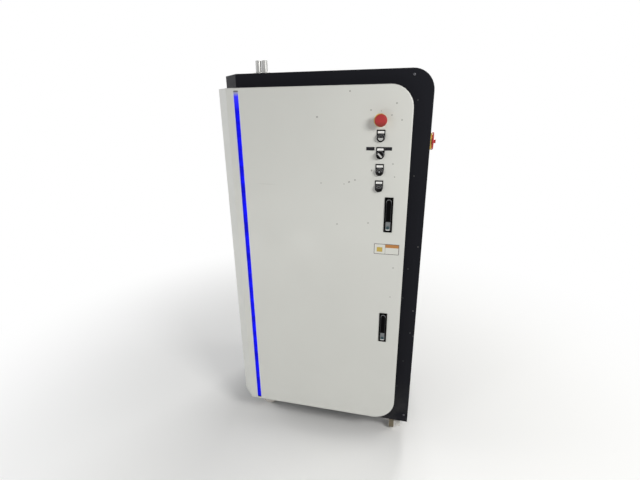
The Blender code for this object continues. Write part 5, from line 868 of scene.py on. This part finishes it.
for button in BUTTONS:
    low, high, middle = measured(f"{button}_body")
    bezel = moulded(f"{button}_bezel", OPERATOR_BLACK, 0.34, specular=0.04, dust_on_top=0.0)
    radius, above, depth = turned_face(bezel.node_tree, middle.x, low.z + BEZEL_MIDDLE_UP)
    # Painted highlight: a grey arc on the upper half of the bezel's front ring.
    lay_band(bezel, (0.13, 0.13, 0.135, 1.0), (depth, low.y - 0.001, low.y + 0.0012, 0.0003),
             (radius, 0.0128, 0.0146, 0.0003), (above, 0.001, 0.02, 0.008))
    dress([f"{button}_body"], bezel)

for button, fields in CAP_REFLECTIONS_AND_LENS.items():
    middle = measured(f"{button}_cap")[2]
    cap = moulded(f"{button}_cap_look", OPERATOR_BLACK, 0.2, grain=400.0, strength=0.1, specular=0.12,
                  dust_on_top=0.0)
    radius, above, depth = turned_face(cap.node_tree, middle.x, middle.z)
    # Painted reflections and highlights on the black cap.
    for reach, heights, colour in fields:
        lay_band(cap, colour, (radius, *reach, 0.0006), (above, *heights, 0.0010))
    dress([f"{button}_cap"], cap)

card_look = moulded("legend_card", (0.80, 0.80, 0.78, 1.0), 0.55, grain=900.0, strength=0.1)
for button in BUTTONS:
    low, high, middle = measured(f"{button}_body")
    card = thin_plate(middle.x, high.z - CARD_BELOW_TOP - CARD_HEIGHT / 2, CARD_WIDTH, CARD_HEIGHT,
                      LEGEND_FACE, 0.0005, 0.0008, 0.0002)
    settle(card, f"{button}_card", "door", card_look)

side_look = moulded("side_plate_black", (0.012, 0.012, 0.015, 1.0), 0.4, grain=700.0, strength=0.15,
                    specular=0.15)
for side, begin, end in KEY_PLATES:
    plate = thin_plate(DOOR_HIGH.x - (begin + end) / 2, DOOR_LOW.z + KEY_PLATE_UP, begin - end,
                       KEY_PLATE_HEIGHT, DOOR_LOW.y, 0.0012, 0.0012, 0.0003)
    settle(plate, f"key_plate_{side}", "door", side_look)

# The key switch: a black rotor with a bright grip across it.
ROTOR_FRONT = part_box("key_switch_rotor")[0].y
rotor_look = moulded("key_rotor", OPERATOR_BLACK, 0.3, specular=0.08, dust_on_top=0.0)
lay_band(rotor_look, (0.50, 0.50, 0.49, 1.0),
         (here(rotor_look.node_tree)["Y"], ROTOR_FRONT - 0.001, ROTOR_FRONT + 0.0095, 0.0004))
dress(["key_switch_rotor"], rotor_look)


# ---- Flush handles
# A black moulded tray with a lift lever of coated metal, with a painted grey highlight along its edges,
# brightest round its upper end. Below it a die-cast lock that is pushed, with a turned cylinder and a
# painted highlight across its lower part.

HANDLES = ("upper_handle", "lower_handle")
LOCK_MIDDLE_UP = 0.011
handle_black = painted("handle_black", (0.0012, 0.0012, 0.0014, 1.0), 0.45, 0.03, 0.05, 500.0, 0.0, 0.0,
                       0.05, 0.0)
dress([f"{handle}_plate" for handle in HANDLES], handle_black)

for handle in HANDLES:
    low, high, middle = measured(f"{handle}_lever")
    half = (high.x - low.x) / 2
    # Painted highlight: every rounded edge of the lever gets a grey sheen as its edge colour.
    lever_look = painted(f"{handle}_lever_look", (0.0014, 0.0014, 0.0016, 1.0), 0.45, 0.03, 0.05, 500.0, 1.0,
                         0.0, 0.05, 0.0, bare=(0.10, 0.101, 0.104, 1.0))
    tree = lever_look.node_tree
    radius, above, depth = turned_face(tree, middle.x, high.z - half)
    # Painted highlight: a pale grey arc round the lever's upper end, where its rounded edge catches the light.
    lay_band(lever_look, (0.22, 0.225, 0.23, 1.0), (radius, half - 0.0016, half - 0.0002, 0.0003),
             (above, -0.001, half, 0.004))
    # Painted highlight: a faint grey line down each side of the lever.
    for edge in ends(low.x, high.x, 0.0009):
        lay_band(lever_look, (0.05, 0.051, 0.053, 1.0), (here(tree)["X"], edge - 0.0005, edge + 0.0005, 0.0003),
                 (above, -0.080, -0.001, 0.002))
    dress([f"{handle}_lever"], lever_look)

    low, high, middle = measured(f"{handle}_lock")
    lock_look = moulded(f"{handle}_lock_look", (0.14, 0.15, 0.155, 1.0), 0.35, drift=0.15, specular=0.5)
    radius, above, depth = turned_face(lock_look.node_tree, middle.x, low.z + LOCK_MIDDLE_UP)
    lay_band(lock_look, (0.014, 0.05, 0.06, 1.0), (radius, 0.0, 0.0066, 0.0004))
    # Painted highlight: the lock's lower part is pale, as bright metal catching the light.
    lay_band(lock_look, (0.60, 0.60, 0.60, 1.0), (above, -0.02, -0.0068, 0.001))
    dress([f"{handle}_lock"], lock_look)


# ---- Screws of the covers
# Small cross-recessed screws: one in each corner of the vent grille, on the back, and of the main
# switch's plate, on the right side.

VENT_SCREW, VENT_INSET, VENT_SEAT = 0.0032, 0.008, 0.0003
SWITCH_SCREW, SWITCH_INSET = 0.0024, 0.0038


def fitted_screws(name, places, radius, turn=(0, 0, 0)):
    """Zinc-plated pan heads on the faces that the places name."""
    settle(repeat(pan_head(radius, radius * 0.6), places, turn), name, "cabinet", plated)


low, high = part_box("vent_grille")
fitted_screws("vent_screws", [
    (x, high.y - VENT_SEAT, z) for x in ends(low.x, high.x, VENT_INSET)
    for z in ends(low.z, high.z, VENT_INSET)],
    VENT_SCREW, (0, 0, HALF_TURN))
low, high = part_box("main_switch_plate")
fitted_screws("switch_plate_screws", [
    (high.x, y, z) for y in ends(low.y, high.y, SWITCH_INSET) for z in ends(low.z, high.z, SWITCH_INSET)],
    SWITCH_SCREW, (0, 0, QUARTER_TURN))


# ---- Fronts of the devices
# What a fitter sees with the door open: plug-in terminals, sockets, displays and clamp screws, each
# moulded or pressed by itself and pushed or screwed into its device's front.

display_glass = moulded("display_glass", (0.006, 0.004, 0.005, 1.0), 0.12, grain=200.0, strength=0.05,
                        dust_on_top=0.0)
connector_steel = moulded("connector_steel", (0.42, 0.42, 0.41, 1.0), 0.35, specular=0.6)
lamp_green = moulded("lamp_green", (0.05, 0.42, 0.10, 1.0), 0.25)
lamp_red = moulded("lamp_red", (0.50, 0.04, 0.03, 1.0), 0.25)
front_foil = moulded("front_foil", (0.085, 0.095, 0.11, 1.0), 0.45, grain=900.0, strength=0.1)
CLAMP_SCREW, CONTACT_SCREW, RACK_SCREW = 0.0032, 0.0036, 0.0045


def fitted_plates(name, places, size, material, corner=0.001, edge=0.0003):
    """Equal small plates, each on the X, the face's Y and the Z of its place: width, height and thickness."""
    width, height, thickness = size
    model = thin_plate(0.0, 0.0, width, height, 0.0, thickness, corner, edge)
    settle(repeat(model, places), name, "cabinet", material)


# Servo drive: four modules, each with a display, three signal plugs and a power terminal.
low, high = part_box("servo_drive")
MODULES, MODULE_PITCH, FIRST_MODULE = 4, 0.064, 0.040
DISPLAY_LEVEL, PLUG_LEVELS, POWER_LEVEL = 0.7375, (0.4375, 0.5075, 0.5775), 0.2375
POWER_THICKNESS, POWER_SCREWS, POWER_PITCH = 0.0060, 5, 0.0095
tall, recess = high.z - low.z, low.y + 0.004
modules = [low.x + FIRST_MODULE + i * MODULE_PITCH for i in range(MODULES)]
power_row = low.z + tall * POWER_LEVEL
fitted_plates("drive_displays", [(x, recess, low.z + tall * DISPLAY_LEVEL) for x in modules],
              (0.038, 0.028, 0.0012), display_glass)
fitted_plates("drive_plugs", [(x, recess, low.z + tall * share) for x in modules for share in PLUG_LEVELS],
              (0.036, 0.0058, 0.0065), green_moulding, 0.0006)
fitted_plates("drive_power_terminals", [(x, recess, power_row) for x in modules],
              (0.034, 0.050, POWER_THICKNESS), device_black)
fitted_screws("drive_terminal_screws", [
    (x, recess - POWER_THICKNESS, power_row + (row - (POWER_SCREWS - 1) / 2) * POWER_PITCH)
    for x in modules for row in range(POWER_SCREWS)], CLAMP_SCREW)

# Motion controller: a printed front foil, metal sockets below and plug-in terminals above.
low, high, middle = measured("motion_controller")
SOCKETS, SOCKET_PITCH, SOCKET_DEEP, SOCKET_ROW = 6, 0.038, 0.006, 0.020
STATE_LAMPS, STATE_PITCH, STATE_BELOW, FOIL = 8, 0.009, 0.052, 0.0005
sockets = [low.x + 0.032 + i * SOCKET_PITCH for i in range(SOCKETS)]
fitted_plates("controller_foil", [(middle.x, low.y, middle.z)],
              (0.216, 0.096, FOIL), front_foil, 0.004, 0.0001)
fitted_plates("controller_sockets", [(x, low.y + SOCKET_DEEP, low.z + SOCKET_ROW) for x in sockets],
              (0.021, 0.011, 0.0075), connector_steel, 0.003)
fitted_plates("controller_terminals", [(x, low.y + SOCKET_DEEP, high.z - SOCKET_ROW) for x in sockets],
              (0.022, 0.013, 0.0090), green_moulding, 0.0006)
fitted_plates("controller_lamps", [(sockets[0] + i * STATE_PITCH, low.y - FOIL, high.z - STATE_BELOW)
                                   for i in range(STATE_LAMPS)],
              (0.0035, 0.0035, 0.0008), lamp_green, 0.0012)

# Power supply: a screw terminal row under its vents.
low, high, middle = measured("power_supply")
SUPPLY_SCREWS, SUPPLY_PITCH, SUPPLY_ROW, SUPPLY_THICKNESS = 9, 0.0100, 0.018, 0.0060
fitted_plates("supply_terminals", [(middle.x, low.y, low.z + SUPPLY_ROW)],
              (0.094, 0.018, SUPPLY_THICKNESS), device_black)
fitted_screws("supply_terminal_screws", [
    (middle.x + (i - (SUPPLY_SCREWS - 1) / 2) * SUPPLY_PITCH, low.y - SUPPLY_THICKNESS, low.z + SUPPLY_ROW)
    for i in range(SUPPLY_SCREWS)], CLAMP_SCREW)

# Contactors: a pale tally window on each nose, and a clamp screw in each terminal recess.
low, high, middle = measured("contactors")
CONTACTORS, POLES, POLE_ROW, POLE_DEEP, TALLY_UP = 3, 3, 0.033, 0.0275, 0.010
contact_wide = (high.x - low.x) / CONTACTORS
fitted_plates("contactor_tallies", [(low.x + (i + 0.5) * contact_wide, low.y, middle.z + TALLY_UP)
                                    for i in range(CONTACTORS)],
              (0.026, 0.010, 0.0006), pale_moulding)
fitted_screws("contactor_screws", [
    (low.x + (i + 0.5) * contact_wide / POLES, low.y + POLE_DEEP, middle.z + side * POLE_ROW)
    for i in range(CONTACTORS * POLES) for side in (-1, 1)], CONTACT_SCREW)

# Terminal strip: a clamp screw above and below on every terminal.
low, high, middle = measured("terminal_strip")
TERMINALS, TERMINAL_PITCH, TERMINAL_DEEP, TERMINAL_ROW = 24, 0.012, 0.012, 0.0225
fitted_screws("terminal_strip_screws", [
    (low.x + (i + 0.5) * TERMINAL_PITCH, low.y + TERMINAL_DEEP, middle.z + side * TERMINAL_ROW)
    for i in range(TERMINALS) for side in (-1, 1)], CLAMP_SCREW)

# Mounting plate: a hexagon bolt near each corner and halfway up.
low, high, middle = measured("mounting_plate")
BOLT_ACROSS, BOLT_HEIGHT, BOLT_INSET, BOLT_END, SHEET = 0.0085, 0.0045, 0.0090, 0.012, 0.0025
bolts = repeat(hex_head(BOLT_ACROSS, BOLT_HEIGHT), [
    (x, high.y - SHEET, z) for x in ends(low.x, high.x, BOLT_INSET)
    for z in (low.z + BOLT_END, middle.z, high.z - BOLT_END)])
settle(bolts, "mounting_plate_bolts", "cabinet", plated)

# Laser source: rack screws, a display, three lamps, a rocker switch and two round sockets.
low, high, middle = measured("laser_source")
RACK_HALF, RACK_INSET, ROUND_UP = 0.230, 0.020, 0.070
SOURCE_FACE, DISPLAY_ROW, LAMP_ROW = low.y + 0.0255, high.z - 0.055, high.z - 0.050
LAMP_SIZE, LAMP_CORNER, LAMP_EDGE = (0.008, 0.008, 0.0030), 0.0035, 0.0010
fitted_screws("source_rack_screws", [
    (middle.x + side * RACK_HALF, SOURCE_FACE, z) for side in (-1, 1) for z in ends(low.z, high.z, RACK_INSET)],
    RACK_SCREW)
fitted_plates("source_display", [(middle.x - 0.100, SOURCE_FACE, DISPLAY_ROW)],
              (0.096, 0.042, 0.0020), display_glass, 0.003, 0.0006)
fitted_plates("source_rocker", [(middle.x + 0.130, SOURCE_FACE, DISPLAY_ROW)],
              (0.028, 0.022, 0.0060), device_black, 0.002, 0.0012)
fitted_plates("source_lamps_green", [(middle.x + x, SOURCE_FACE, LAMP_ROW) for x in (0.010, 0.032)],
              LAMP_SIZE, lamp_green, LAMP_CORNER, LAMP_EDGE)
fitted_plates("source_lamp_red", [(middle.x + 0.054, SOURCE_FACE, LAMP_ROW)],
              LAMP_SIZE, lamp_red, LAMP_CORNER, LAMP_EDGE)
fitted_plates("source_round_sockets", [(middle.x + x, SOURCE_FACE, low.z + ROUND_UP) for x in (-0.020, 0.020)],
              (0.026, 0.026, 0.0060), connector_steel, 0.0125, 0.0010)


# ---- Lock keyways
# The slot for the key in each lock's turned cylinder. A thin black plate that moves with the lock
# stands for it: painted shade where the slot lies in shadow.

for handle in HANDLES:
    low, high, middle = measured(f"{handle}_lock")
    keyway = thin_plate(middle.x, low.z + LOCK_MIDDLE_UP, 0.0014, 0.0062, low.y, 0.0002, 0.0005, 0.00005)
    settle(keyway, f"{handle}_keyway", handle.replace("handle", "lock"), handle_black)
